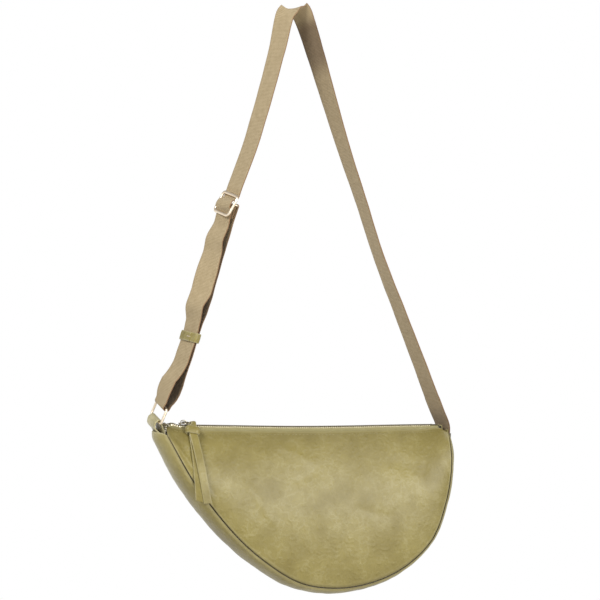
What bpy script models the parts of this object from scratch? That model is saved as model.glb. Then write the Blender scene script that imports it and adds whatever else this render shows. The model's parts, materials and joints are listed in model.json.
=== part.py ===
# Crescent crossbody bag hanging from its webbing strap.
# Metres, Z up, X to the wearer's right of the picture, the bag's front faces -Y.
# The origin is the underside of the strap's apex, where a hook or a hand holds it.

import math

import bmesh
import bpy
from mathutils import Matrix, Vector

# Bag body
PANEL_WIDTH = 0.3475
PANEL_HEIGHT = 0.194
PANEL_LEFT = -0.158
RIDGE_LEFT_Z = -0.4955
RIDGE_FALL = 0.0055
EDGE_DROP = 0.0055
LEFT_CORNER_RISE = 0.0055
LEFT_CORNER_SHARE = 0.13
TOP_HALF_GAP = 0.008
END_HALF_DEPTH = 0.020
FULL_HALF_DEPTH = 0.038
PANEL_BULGE = 0.012
GUSSET_LEFT_BULGE = 0.0145
GUSSET_RIGHT_BULGE = 0.010
GUSSET_BOTTOM_BULGE = 0.0098
GUSSET_TAPER_SHARE = 0.4
GUSSET_TAPER_LENGTH_SHARE = 0.1
LEATHER = 0.0014
LINING = 0.0006
POCKET_CLOTH = 0.0008
GAP = 0.0003
SEAM_ALLOWANCE = 0.006
ALLOWANCE_SHARE = 0.3
LINING_INSET = 0.0043

# The seam's outline, as shares of the panel's width from the left and of its height from the ridge
SEAM_SHARES = (
    (0.000, 0.060), (0.084, 0.340), (0.220, 0.655), (0.327, 0.828), (0.447, 0.960),
    (0.560, 1.000), (0.680, 0.985), (0.810, 0.900), (0.920, 0.733), (0.975, 0.510),
    (1.000, 0.260), (0.998, 0.095),
)
TOP_RIGHT_SHARE = 0.982
TOP_FOLLOWS_SEAM_SHARE = 0.5
PANEL_COLUMNS = 36
PANEL_ROWS = 8
GUSSET_ROWS = 10
LINING_COLUMNS = 18
LINING_SIDE_SHARES = (0.04, 0.96)
LINING_DROP_SHARES = (0.07, 0.95)
POCKET_SIDE_SHARES = (0.34, 0.64)
POCKET_DROP_SHARES = (0.18, 0.62)
SLOPE_STEP_SHARE = 0.01
UNDER_PANEL = 0.0023
UNDER_GUSSET = 0.0026

# Zip
ZIP_START = 0.0225
ZIP_STOP_LEFT = 0.0042
ZIP_HUMP = 0.0022
ZIP_HUMP_LENGTH = 0.016
HUMP_COLUMNS = 8
ZIP_FLARE = 0.0012
ZIP_FLARE_LENGTH = 0.0060
CHAIN_END_SHARE = 0.955
TOOTH_PITCH = 0.0026
TOOTH_LENGTH = 0.0010
TOOTH_REACH = 0.0013
CHAIN_HALF_WIDTH = 0.0030
BEAD_INNER = 0.0016
CHAIN_THICKNESS = 0.0024
TAPE = 0.0007
TAPE_FLANGE = 0.008
TAPE_FLANGE_SHARE = 0.45
TAPE_FOLD_SHARE = 0.55
STOP_LENGTH = 0.0020
STOP_WIDTH = 0.0013
END_PIECE_WIDTH = 0.0115
END_PIECE_DROP = 0.018
END_PIECE_RISE = 0.0022
END_PIECE_THICKNESS = 0.0010
END_PIECE_OUT = 0.0040
# Each place along an end piece: its share of the reach, of the rise and of the drop
END_PIECE_SHARES = (
    (0.00, 0.0, 0.00), (0.45, 1.0, 0.00), (0.85, 1.0, 0.06), (1.00, 0.0, 0.38), (1.00, 0.0, 1.00),
)
SLIDER_LENGTH = 0.0120
SLIDER_WIDTH = 0.0090
SLIDER_PLATE = 0.0011
SLIDER_POST = 0.0022
SLIDER_AHEAD = 0.0020
ZIP_TRAVEL = 0.300
TRAVEL_STEPS = 24
BRIDGE_SPAN = 0.0060
BRIDGE_RISE = 0.0034
BRIDGE_WIRE = 0.0006

# Pull: wire ring, leather strip and its wrap
PULLER_RADIUS = 0.0065
PULLER_WIRE = 0.0006
PULLER_LEAN = math.radians(10)
PULLER_TURN = math.radians(50)
PULL_WIDTH = 0.0096
PULL_THICKNESS = 0.0014
PULL_LENGTH = 0.0925
PULL_BACK_LENGTH = 0.0890
PULL_HEAD = 0.0125
HEAD_LEAN = math.radians(31)
HEAD_PINCH_SHARE = 0.36
HEAD_ROOM = 0.0010
FRONT_TAIL_DRIFT = 0.012
FRONT_TAIL_STAND = 0.0048
BACK_TAIL_DRIFT = 0.003
BACK_TAIL_STAND = 0.0022
BACK_TAIL_TURN = math.radians(15)
BAND_HEIGHT = 0.0085
BAND_DROP = 0.0035
BAND_LEATHER = 0.0011
BAND_ROOM = 0.0012

# Ring and tab at the left end
RING_CLEARANCE = 0.00075
RING_WIRE = 0.0015
RING_CORNER = 0.0025
RING_TOP = Vector((-0.1610, 0.0, -0.4710))
RING_BOTTOM = Vector((-0.1685, 0.0, -0.4880))
RING_TILT = math.radians(17)
RING_TURN = math.radians(8)
TAB_WIDTH = 0.025
TAB_LEATHER = 0.0015
TAB_END_DROP = 0.0245
TAB_STAND_OFF = 0.0078
TAB_OUTER_BEND_SHARE = 0.45
TAB_INNER_BEND_SHARE = 0.5

# Webbing strap
WEB_WIDTH = 0.030
WEB = 0.0015
APEX_FLAT = 0.007
ANCHOR_DEPTH = 0.0125
LOOP_RISE = 0.030
# The strap's middle line down the left side, a list of places chosen by eye
LEFT_RUN = (
    (-0.0110, -0.0080), (-0.0205, -0.0470), (-0.0375, -0.1090), (-0.0545, -0.1650),
)
SLIDER_PLACE = Vector((-0.0800, 0.0, -0.2350))
LEFT_SLOPE = math.radians(18.5)
SLIDER_STRAIGHT_UP = 0.020
SLIDER_STRAIGHT_DOWN = 0.090
KEEPER_PLACE = Vector((-0.1282, 0.0, -0.3912))
KEEPER_SLOPE = math.radians(17.5)
KEEPER_STRAIGHT_UP = 0.034
KEEPER_STRAIGHT_DOWN = 0.030
# Down the right side: each place's shares of the way from the origin to the anchor, across and down
RIGHT_RUN_SHARES = (
    (0.0582, 0.0160), (0.1376, 0.0996), (0.2328, 0.2140), (0.3291, 0.3288),
    (0.4497, 0.4600), (0.5646, 0.5892), (0.6878, 0.7060), (0.8127, 0.8230), (0.9259, 0.9320),
)
ANCHOR_INSET = 0.0005
ANCHOR_RISE = 0.0010
APEX_TWIST = math.radians(34)
LEFT_TWIST = math.radians(26)
DOUBLED_TWIST = math.radians(18)
RIGHT_MID_TWIST = math.radians(7)
RIGHT_END_TWIST = math.radians(15)
PLY_GAP = 0.0006
LOOP_BELLY = 0.0048
# Each place down a side of the teardrop: its share of the belly and of the rise over the ring
LOOP_SIDE_SHARES = ((1.00, 0.99), (0.98, 0.66), (0.80, 0.33))
LOOP_UNTWIST_SHARE = 0.66
WEB_STEP = 0.010
UNTWIST_SHARE = 0.25
RIGHT_MIDDLE_SHARE = 0.58
RETURN_SPREAD = 0.040

# Slider frame on the strap
FRAME_CLEARANCE = 0.0012
FRAME_HEIGHT = 0.0250
FRAME_WIRE = 0.0015
FRAME_CORNER = 0.0035
BAR_WIRE = 0.0013
RETURN_TAIL = 0.016
RETURN_TAIL_SHARES = (0.3, 0.65, 1.0)
BAR_BEND_SHARE = 0.3

# Keeper
KEEPER_HEIGHT = 0.0115
KEEPER_LEATHER = 0.0014
KEEPER_CLEARANCE = 0.0006
KEEPER_CORNER = 0.0018
STAPLE_WIRE = 0.0006
STAPLE_SPAN = 0.0050

# Anchor patch behind the right corner
PATCH_WIDTH = 0.027
PATCH_LENGTH = 0.013
PATCH_LEATHER = 0.0012
PATCH_STAND = 0.0009


# Scene and materials
for old in list(bpy.data.objects):
    bpy.data.objects.remove(old)
bag_collection = bpy.data.collections.new("crescent_bag")
bpy.context.scene.collection.children.link(bag_collection)
cutters = bpy.data.collections.new("cutters")
bpy.context.scene.collection.children.link(cutters)


def principled(name, colour, roughness, metallic):
    material = bpy.data.materials.new(name)
    material.use_nodes = True
    shader = material.node_tree.nodes["Principled BSDF"]
    shader.inputs["Base Color"].default_value = (*colour, 1.0)
    shader.inputs["Roughness"].default_value = roughness
    shader.inputs["Metallic"].default_value = metallic
    return material


olive_leather = principled("olive_leather", (0.31, 0.27, 0.10), 0.42, 0.0)
khaki_webbing = principled("khaki_webbing", (0.42, 0.35, 0.21), 0.85, 0.0)
olive_tape = principled("olive_tape", (0.16, 0.15, 0.07), 0.8, 0.0)
pale_gold = principled("pale_gold", (0.85, 0.66, 0.42), 0.22, 1.0)
zip_nickel = principled("zip_nickel", (0.62, 0.60, 0.54), 0.3, 1.0)
lining_cloth = principled("lining_cloth", (0.28, 0.25, 0.16), 0.9, 0.0)


def place(obj, material, smooth_angle=40):
    """Puts a finished object in the bag's collection with its material, shaded smooth."""
    if obj.name not in bag_collection.objects:
        bag_collection.objects.link(obj)
    obj.data.materials.clear()
    obj.data.materials.append(material)
    if obj.type == "MESH":
        obj.data.shade_smooth()
        obj.data.set_sharp_from_angle(angle=math.radians(smooth_angle))
    return obj


def parent_to(empty, *objects):
    for obj in objects:
        obj.parent = empty
        obj.matrix_parent_inverse = empty.matrix_world.inverted()


def joint_empty(name, at):
    empty = bpy.data.objects.new(name, None)
    empty.location = at
    empty.empty_display_size = WEB_WIDTH
    bag_collection.objects.link(empty)
    empty.matrix_world = Matrix.Translation(at)
    return empty


def mesh_object(name, points, faces):
    mesh = bpy.data.meshes.new(name)
    mesh.from_pydata([tuple(p) for p in points], [], faces)
    mesh.update()
    return bpy.data.objects.new(name, mesh)


def sheet(name, rows, thickness, material, flip=False):
    """An open grid of points, thickened behind its face with Solidify."""
    columns = len(rows[0])
    faces = []
    for r in range(len(rows) - 1):
        for c in range(columns - 1):
            a = r * columns + c
            quad = (a, a + 1, a + columns + 1, a + columns)
            faces.append(quad[::-1] if flip else quad)
    obj = mesh_object(name, [p for row in rows for p in row], faces)
    solid = obj.modifiers.new("thickness", "SOLIDIFY")
    solid.thickness = thickness
    solid.offset = -1.0
    solid.use_even_offset = True
    return place(obj, material)


def smooth_line(points, step, closed=False):
    """Points a step apart along a centripetal curve through the given ones."""
    count = len(points)
    out = []
    for i in range(count if closed else count - 1):
        p1, p2 = points[i], points[(i + 1) % count]
        p0 = points[i - 1] if closed or i else p1 + (p1 - p2)
        p3 = points[(i + 2) % count] if closed or i + 2 < count else p2 + (p2 - p1)
        t1 = (p1 - p0).length ** 0.5
        t2 = t1 + (p2 - p1).length ** 0.5
        t3 = t2 + (p3 - p2).length ** 0.5
        pieces = max(1, round((p2 - p1).length / step))
        for k in range(pieces):
            t = t1 + (t2 - t1) * k / pieces
            a1 = p0 * ((t1 - t) / t1) + p1 * (t / t1)
            a2 = p1 * ((t2 - t) / (t2 - t1)) + p2 * ((t - t1) / (t2 - t1))
            a3 = p2 * ((t3 - t) / (t3 - t2)) + p3 * ((t - t2) / (t3 - t2))
            b1 = a1 * ((t2 - t) / t2) + a2 * (t / t2)
            b2 = a2 * ((t3 - t) / (t3 - t1)) + a3 * ((t - t1) / (t3 - t1))
            out.append(b1 * ((t2 - t) / (t2 - t1)) + b2 * ((t - t1) / (t2 - t1)))
    if not closed:
        out.append(points[-1].copy())
    return out


def tangents(points, closed=False):
    count = len(points)
    found = []
    for i in range(count):
        before = points[i - 1] if closed or i else points[0]
        after = points[(i + 1) % count] if closed or i + 1 < count else points[-1]
        found.append((after - before).normalized())
    return found


def ribbon(name, points, across, width, thickness, material, closed=False):
    """A flat strip of rectangular section swept along points, its width along the across vectors."""
    along = tangents(points, closed)
    corners = []
    for p, w, t in zip(points, across, along):
        n = t.cross(w).normalized()
        half_w, half_n = w * (width / 2), n * (thickness / 2)
        corners += [p - half_w - half_n, p + half_w - half_n, p + half_w + half_n, p - half_w + half_n]
    sections = len(points)
    faces = []
    for i in range(sections if closed else sections - 1):
        a, b = 4 * i, 4 * ((i + 1) % sections)
        for k in range(4):
            m = (k + 1) % 4
            faces.append((a + k, a + m, b + m, b + k))
    if not closed:
        last = 4 * (sections - 1)
        faces.append((3, 2, 1, 0))
        faces.append((last, last + 1, last + 2, last + 3))
    obj = mesh_object(name, corners, faces)
    face_out(obj)
    return place(obj, material)


def face_out(obj):
    work = bmesh.new()
    work.from_mesh(obj.data)
    bmesh.ops.recalc_face_normals(work, faces=work.faces)
    work.to_mesh(obj.data)
    work.free()


def wire(name, points, radius, material, closed=False, sides=2):
    """A round wire along points, with filled ends where it is open."""
    curve = bpy.data.curves.new(name, "CURVE")
    curve.dimensions = "3D"
    curve.bevel_depth = radius
    curve.bevel_resolution = sides
    curve.use_fill_caps = not closed
    spline = curve.splines.new("POLY")
    spline.points.add(len(points) - 1)
    for slot, p in zip(spline.points, points):
        slot.co = (*p, 1.0)
    spline.use_cyclic_u = closed
    return place(bpy.data.objects.new(name, curve), material)


def rounded_rectangle(width, height, corner, turns=4):
    """Points round a rectangle with round corners, in its own plane as (across, up)."""
    points = []
    centres = ((1, 1), (-1, 1), (-1, -1), (1, -1))
    for quarter, (sx, sy) in enumerate(centres):
        cx, cy = sx * (width / 2 - corner), sy * (height / 2 - corner)
        for k in range(turns + 1):
            angle = math.pi / 2 * (quarter + k / turns)
            points.append((cx + corner * math.cos(angle), cy + corner * math.sin(angle)))
    return points


def block(name, centre, size, bevel):
    """A box with softened edges, kept as a mesh for joining."""
    bpy.ops.mesh.primitive_cube_add(size=1.0, location=centre)
    obj = bpy.context.object
    obj.name = name
    obj.data.transform(Matrix.Diagonal((*size, 1.0)))
    if bevel:
        soft = obj.modifiers.new("soft", "BEVEL")
        soft.width = bevel
        soft.segments = 1
        soft.limit_method = "ANGLE"
    for owner in list(obj.users_collection):
        owner.objects.unlink(obj)
    return obj


def helper(obj):
    """Keeps an object as a hidden guide for a Boolean."""
    cutters.objects.link(obj)
    obj.hide_render = True
    obj.display_type = "WIRE"
    return obj


def mesh_from_curve(obj):
    """The mesh of a curve object, with its caps welded."""
    bpy.context.view_layer.update()
    evaluated = obj.evaluated_get(bpy.context.evaluated_depsgraph_get())
    mesh = bpy.data.meshes.new_from_object(evaluated)
    work = bmesh.new()
    work.from_mesh(mesh)
    bmesh.ops.remove_doubles(work, verts=work.verts, dist=GAP / 10)
    bmesh.ops.recalc_face_normals(work, faces=work.faces)
    work.to_mesh(mesh)
    work.free()
    made = bpy.data.objects.new(obj.name + "_solid", mesh)
    made.matrix_world = obj.matrix_world
    bpy.data.objects.remove(obj)
    return made


def join(target, *others):
    for other in others:
        modifier = target.modifiers.new("join " + other.name, "BOOLEAN")
        modifier.operation = "UNION"
        modifier.solver = "EXACT"
        modifier.object = helper(other)


# Bag surfaces: the seam outline, the top edge, and the panel between them
def ridge_z(x):
    return RIDGE_LEFT_Z - RIDGE_FALL * (x - PANEL_LEFT) / PANEL_WIDTH


seam_line = smooth_line(
    [
        Vector((PANEL_LEFT + PANEL_WIDTH * across, 0.0, RIDGE_LEFT_Z - PANEL_HEIGHT * down))
        for across, down in SEAM_SHARES
    ],
    PANEL_WIDTH / 160,
)
seam_reach = [0.0]
for here, there in zip(seam_line, seam_line[1:]):
    seam_reach.append(seam_reach[-1] + (there - here).length)


def seam_point(share):
    """The seam's place at a share of its length from the left end."""
    want = min(max(share, 0.0), 1.0) * seam_reach[-1]
    for i in range(len(seam_line) - 1):
        if seam_reach[i + 1] >= want:
            part = (want - seam_reach[i]) / (seam_reach[i + 1] - seam_reach[i])
            return seam_line[i].lerp(seam_line[i + 1], part)
    return seam_line[-1].copy()


def seam_outward(share):
    run = seam_point(share + SLOPE_STEP_SHARE) - seam_point(share - SLOPE_STEP_SHARE)
    return Vector((run.z, 0.0, -run.x)).normalized()


def half_depth(share):
    swell = 1.0 - abs(1.0 - 2.0 * min(max(share, 0.0), 1.0)) ** 4
    return END_HALF_DEPTH + (FULL_HALF_DEPTH - END_HALF_DEPTH) * swell


def top_point(share):
    along = (seam_point(share).x - PANEL_LEFT) / (seam_line[-1].x - PANEL_LEFT)
    mixed = TOP_FOLLOWS_SEAM_SHARE * along + (1.0 - TOP_FOLLOWS_SEAM_SHARE) * share
    x = PANEL_LEFT + PANEL_WIDTH * TOP_RIGHT_SHARE * mixed
    rise = LEFT_CORNER_RISE * max(0.0, 1.0 - mixed / LEFT_CORNER_SHARE) ** 2
    return Vector((x, 0.0, ridge_z(x) - EDGE_DROP + rise))


def panel_face(share, down):
    """A place on the front panel's outer face: down runs from the top edge to the seam."""
    top, seam = top_point(share), seam_point(share)
    place_at = top.lerp(seam, down)
    swell = PANEL_BULGE * (1.0 - abs(1.0 - 2.0 * min(max(share, 0.0), 1.0)) ** 3)
    depth = TOP_HALF_GAP + (half_depth(share) - TOP_HALF_GAP) * down
    place_at.y = -(depth + swell * 4.0 * down * (1.0 - down))
    return place_at


def panel_inside(share, down, inset):
    """The same place moved into the bag by an inset, square to the face."""
    low, high = max(share - SLOPE_STEP_SHARE, 0.0), min(share + SLOPE_STEP_SHARE, 1.0)
    up, deep = max(down - SLOPE_STEP_SHARE, 0.0), min(down + SLOPE_STEP_SHARE, 1.0)
    run = panel_face(high, down) - panel_face(low, down)
    fall = panel_face(share, deep) - panel_face(share, up)
    inward = run.cross(fall).normalized()
    if inward.y < 0:
        inward.negate()
    return panel_face(share, down) + inward * inset


def drop_length(share):
    return (seam_point(share) - top_point(share)).length


def mirrored(rows):
    return [[Vector((p.x, -p.y, p.z)) for p in row] for row in rows]


def shares(count, span_shares=(0.0, 1.0)):
    """Evenly spaced shares from one end of a span to the other."""
    first, last = span_shares
    return [first + (last - first) * i / count for i in range(count + 1)]


# Front and back panels
panel_rows = [
    [panel_face(s, v) for s in shares(PANEL_COLUMNS)] for v in shares(PANEL_ROWS)
]
front_panel = sheet("front_panel", panel_rows, LEATHER, olive_leather, flip=True)
back_panel = sheet("back_panel", mirrored(panel_rows), LEATHER, olive_leather)


# Gusset: its edges are tucked behind the panels' rims
def gusset_bulge(share):
    side_bulge = GUSSET_LEFT_BULGE if share < 0.5 else GUSSET_RIGHT_BULGE
    bulge = GUSSET_BOTTOM_BULGE + (side_bulge - GUSSET_BOTTOM_BULGE) * math.cos(math.pi * share) ** 2
    part = max(0.0, 1.0 - (1.0 - share) / GUSSET_TAPER_LENGTH_SHARE)
    return bulge * (1.0 - GUSSET_TAPER_SHARE * part * part)


def gusset_half(share):
    tucked = 1.0 - min(SEAM_ALLOWANCE / drop_length(share), ALLOWANCE_SHARE)
    points = [panel_inside(share, tucked, UNDER_PANEL), panel_inside(share, 1.0, UNDER_PANEL)]
    rim = points[-1]
    out = seam_outward(share)
    for k in range(1, GUSSET_ROWS):
        angle = math.pi * k / GUSSET_ROWS
        bulge = gusset_bulge(share) * math.sin(angle)
        points.append(Vector((rim.x, rim.y * math.cos(angle), rim.z)) + out * bulge)
    points += [Vector((p.x, -p.y, p.z)) for p in points[1::-1]]
    return points


gusset_columns = [gusset_half(s) for s in shares(PANEL_COLUMNS)]
gusset = sheet("gusset", gusset_columns, LEATHER, olive_leather)

# Linings and slip pocket
lining_spans = shares(LINING_COLUMNS, LINING_SIDE_SHARES)
lining_downs = shares(PANEL_ROWS, LINING_DROP_SHARES)
lining_rows = [[panel_inside(s, v, LINING_INSET) for s in lining_spans] for v in lining_downs]
front_lining = sheet("front_lining", lining_rows, LINING, lining_cloth, flip=True)
back_lining = sheet("back_lining", mirrored(lining_rows), LINING, lining_cloth)


def gusset_lining_row(share):
    out = seam_outward(share)
    seam = seam_point(share)
    half = half_depth(share) - LINING_INSET - LINING - LINING
    points = []
    for k in range(1, GUSSET_ROWS):
        angle = math.pi * k / GUSSET_ROWS
        bulge = gusset_bulge(share) * math.sin(angle) - UNDER_GUSSET
        points.append(Vector((seam.x, -half * math.cos(angle), seam.z)) + out * bulge)
    return points


gusset_lining = sheet(
    "gusset_lining", [gusset_lining_row(s) for s in lining_spans], LINING, lining_cloth
)

pocket_sides = shares(8, POCKET_SIDE_SHARES)
pocket_downs = shares(4, POCKET_DROP_SHARES)
pocket_inset = LINING_INSET + LINING + GAP + GAP
pocket_rows = [[panel_inside(s, v, pocket_inset) for s in pocket_sides] for v in pocket_downs]
inner_pocket = sheet("inner_pocket", mirrored(pocket_rows), POCKET_CLOTH, lining_cloth)


# Zip: woven tapes, tooth chains, stops, end pieces and slider
def share_at_x(x):
    low, high = 0.0, 1.0
    for _ in range(40):
        middle = (low + high) / 2.0
        if top_point(middle).x < x:
            low = middle
        else:
            high = middle
    return (low + high) / 2.0


chain_left = PANEL_LEFT + ZIP_START
chain_right = PANEL_LEFT + PANEL_WIDTH * CHAIN_END_SHARE
slider_x = chain_left - SLIDER_POST
bridge_x = slider_x + SLIDER_AHEAD
slider_left = bridge_x - SLIDER_LENGTH / 2.0
stop_x = PANEL_LEFT + ZIP_STOP_LEFT
comb_left = stop_x + STOP_LENGTH / 2.0 + GAP


def chain_z(x):
    """The chain's height: the ridge, with a hump over the left corner."""
    part = min(max((x - PANEL_LEFT) / ZIP_HUMP_LENGTH, 0.0), 1.0)
    return ridge_z(x) + ZIP_HUMP * math.sin(math.pi * part) ** 2


def flare(x):
    """How far each side has parted, left of the slider."""
    part = min(max((chain_left - x) / ZIP_FLARE_LENGTH, 0.0), 1.0)
    return ZIP_FLARE * part * part * (3.0 - 2.0 * part)


tape_left = stop_x - STOP_LENGTH / 2.0 - GAP
tape_middle = PANEL_LEFT + ZIP_START
tape_right = top_point(1.0).x - GAP - GAP
tape_places = [
    tape_left + (tape_middle - tape_left) * k / HUMP_COLUMNS for k in range(HUMP_COLUMNS)
]
tape_places += [
    tape_middle + (tape_right - tape_middle) * k / PANEL_COLUMNS for k in range(PANEL_COLUMNS + 1)
]
tape_rows = [[], [], [], []]
for x in tape_places:
    s = share_at_x(x)
    level = Vector((x, -(CHAIN_HALF_WIDTH + TAPE + flare(x)), chain_z(x) + TAPE / 2.0))
    rim = panel_inside(s, 0.0, UNDER_GUSSET)
    tape_rows[0].append(level)
    tape_rows[1].append(level.lerp(rim, TAPE_FOLD_SHARE) + Vector((0.0, 0.0, GAP + GAP)))
    tape_rows[2].append(rim)
    flange_share = min(TAPE_FLANGE / drop_length(s), TAPE_FLANGE_SHARE)
    tape_rows[3].append(panel_inside(s, flange_share, UNDER_GUSSET))
zip_tape_front = sheet("zip_tape_front", tape_rows, TAPE, olive_tape, flip=True)
zip_tape_back = sheet("zip_tape_back", mirrored(tape_rows), TAPE, olive_tape)


def tooth_chain(name, side, shift):
    """One side's teeth on their bead: meshed right of the slider, parted left of it."""
    room = chain_right - comb_left - shift - TOOTH_LENGTH - GAP - GAP
    stations = [(comb_left, False)]
    for k in range(int(room / TOOTH_PITCH) + 1):
        start = comb_left + shift + k * TOOTH_PITCH + GAP
        toothed = start > chain_left or start + TOOTH_LENGTH < slider_left
        stations += [(start, toothed), (start + TOOTH_LENGTH, False)]
    stations.append((chain_right, False))
    points, faces = [], []
    for x, _ in stations:
        for y in (-BEAD_INNER, -CHAIN_HALF_WIDTH):
            for level in (-0.5, 0.5):
                points.append(
                    Vector((x, side * (y - flare(x)), chain_z(x) + level * CHAIN_THICKNESS))
                )
    for i in range(len(stations) - 1):
        a, b = 4 * i, 4 * i + 4
        faces += [(a, a + 2, b + 2, b), (a + 1, b + 1, b + 3, a + 3), (a + 2, a + 3, b + 3, b + 2)]
        if not stations[i][1]:
            faces.append((a, b, b + 1, a + 1))
            continue
        t = len(points)
        for x in (stations[i][0], stations[i + 1][0]):
            for level in (-0.5, 0.5):
                tip = side * (TOOTH_REACH - flare(x))
                points.append(Vector((x, tip, chain_z(x) + level * CHAIN_THICKNESS)))
        faces += [(a, b, t + 2, t), (a + 1, t + 1, t + 3, b + 1), (t, t + 2, t + 3, t + 1)]
        faces += [(a, t, t + 1, a + 1), (b, b + 1, t + 3, t + 2)]
    faces += [(0, 1, 3, 2), (b, b + 2, b + 3, b + 1)]
    obj = mesh_object(name, points, faces)
    face_out(obj)
    return place(obj, zip_nickel)


zip_teeth_front = tooth_chain("zip_teeth_front", 1.0, 0.0)
zip_teeth_back = tooth_chain("zip_teeth_back", -1.0, TOOTH_PITCH / 2.0)


def ridge_block(name, x, y, size, bevel, material):
    obj = block(name, (x, y, chain_z(x)), size, bevel)
    return place(obj, material)


stop_size = (STOP_LENGTH, STOP_WIDTH, CHAIN_THICKNESS)
stop_y = CHAIN_HALF_WIDTH - STOP_WIDTH / 2.0 + flare(stop_x)
zip_stop_front = ridge_block("zip_stop_front", stop_x, -stop_y, stop_size, GAP, zip_nickel)
zip_stop_back = ridge_block("zip_stop_back", stop_x, stop_y, stop_size, GAP, zip_nickel)
bottom_stop_x = chain_right + STOP_LENGTH / 2.0 + GAP
zip_bottom_stop = ridge_block(
    "zip_bottom_stop",
    bottom_stop_x,
    0.0,
    (STOP_LENGTH, 2.0 * CHAIN_HALF_WIDTH, CHAIN_THICKNESS),
    GAP,
    zip_nickel,
)


def end_piece(name, inner_x, outer_x, rise, drop):
    """A leather strip that turns down over the end of the zip and is sewn inside the gusset."""
    reach = outer_x - inner_x
    top_z = ridge_z(inner_x)
    path = [
        Vector((inner_x + across * reach, 0.0, top_z + up * rise - down * drop))
        for across, up, down in END_PIECE_SHARES
    ]
    line = smooth_line(path, END_PIECE_WIDTH / 5.0)
    across = [Vector((0.0, 1.0, 0.0))] * len(line)
    return ribbon(name, line, across, END_PIECE_WIDTH, END_PIECE_THICKNESS, olive_leather)


left_wall_x = PANEL_LEFT - END_PIECE_THICKNESS
zip_end_left = end_piece(
    "zip_end_left",
    tape_left - END_PIECE_THICKNESS,
    left_wall_x,
    END_PIECE_RISE,
    END_PIECE_DROP,
)
zip_end_right = end_piece(
    "zip_end_right",
    tape_right + GAP,
    tape_right + END_PIECE_OUT,
    0.0,
    END_PIECE_DROP,
)

plate_level = CHAIN_THICKNESS / 2.0 + GAP + SLIDER_PLATE / 2.0
slider_z = ridge_z(slider_x)
zip_slider = block(
    "zip_slider",
    (bridge_x, 0.0, slider_z + plate_level),
    (SLIDER_LENGTH, SLIDER_WIDTH, SLIDER_PLATE),
    GAP,
)
lower_plate = block(
    "slider_lower_plate",
    (bridge_x, 0.0, slider_z - plate_level),
    (SLIDER_LENGTH, 2.0 * CHAIN_HALF_WIDTH, SLIDER_PLATE),
    GAP,
)
wedge = block(
    "slider_wedge",
    (slider_x - SLIDER_POST, 0.0, slider_z),
    (SLIDER_POST, SLIDER_POST, plate_level + plate_level),
    0.0,
)
bridge_foot = slider_z + plate_level
bridge_points = []
for k in range(9):
    angle = math.pi * k / 8.0
    bridge_points.append(
        Vector(
            (
                bridge_x - BRIDGE_SPAN / 2.0 * math.cos(angle),
                0.0,
                bridge_foot + BRIDGE_RISE * math.sin(angle) ** 0.6,
            )
        )
    )
bridge = mesh_from_curve(wire("slider_bridge", bridge_points, BRIDGE_WIRE, zip_nickel))
join(zip_slider, lower_plate, wedge, bridge)
place(zip_slider, zip_nickel)

# Puller ring through the bridge, and the leather pull that hangs from it
bridge_pivot = Vector(
    (bridge_x, 0.0, bridge_foot + BRIDGE_RISE - BRIDGE_WIRE - PULLER_WIRE - GAP)
)
fall_side = Vector((math.cos(PULLER_TURN), -math.sin(PULLER_TURN), 0.0))
ring_down = fall_side * math.cos(PULLER_LEAN) - Vector((0.0, 0.0, math.sin(PULLER_LEAN)))
ring_across = ring_down.cross(Vector((0.0, 0.0, 1.0))).normalized()
puller_centre = bridge_pivot + ring_down * PULLER_RADIUS
puller_points = []
for k in range(20):
    angle = 2.0 * math.pi * k / 20.0
    puller_points.append(
        puller_centre
        - ring_down * (PULLER_RADIUS * math.cos(angle))
        + ring_across * (PULLER_RADIUS * math.sin(angle))
    )
zip_puller = wire("zip_puller", puller_points, PULLER_WIRE, zip_nickel, closed=True)

pull_pivot = puller_centre + ring_down * PULLER_RADIUS
pull_share = share_at_x(pull_pivot.x)


def panel_y_at(x, z):
    """The front face's y over a place in the panel, found by closing in on that place."""
    share, down = share_at_x(x), 0.1
    for _ in range(30):
        here = panel_face(share, down)
        share = min(max(share + (x - here.x) / PANEL_WIDTH, 0.0), 1.0)
        down = min(max(down + (here.z - z) / drop_length(share), 0.0), 1.0)
    return panel_face(share, down).y


def foremost_face_y(x, z, half_width):
    """The panel's foremost y behind a strip at a place, at every stop of the zip's travel."""
    reached = []
    for k in range(TRAVEL_STEPS + 1):
        slid = ZIP_TRAVEL * k / TRAVEL_STEPS
        level = z + ridge_z(x + slid) - ridge_z(x)
        for shift in (-half_width, 0.0, half_width):
            reached.append(panel_y_at(x + slid + shift, level))
    return min(reached)


def tail_line(length, drift, stand_off, turn, sign):
    """Places and width directions of one tail, from its head down to its end."""
    half = pull_across_way * (PULL_WIDTH / 2.0)
    side = head_out * (-sign * (PULL_THICKNESS / 2.0 + GAP))
    points = [pull_pivot + side + head_way * drop for drop in (BAND_DROP, PULL_HEAD)]
    across = [pull_across_way.copy() for _ in points]
    for k in range(1, 9):
        part = k / 8.0
        x = pull_pivot.x + drift * part
        z = points[1].z - (length - PULL_HEAD) * part
        face_y = foremost_face_y(x, z, half.x)
        points.append(Vector((x, min(points[1].y, face_y - stand_off), z)))
        across.append(Vector((math.cos(turn * part), -math.sin(turn * part), 0.0)))
    return points, across


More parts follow.
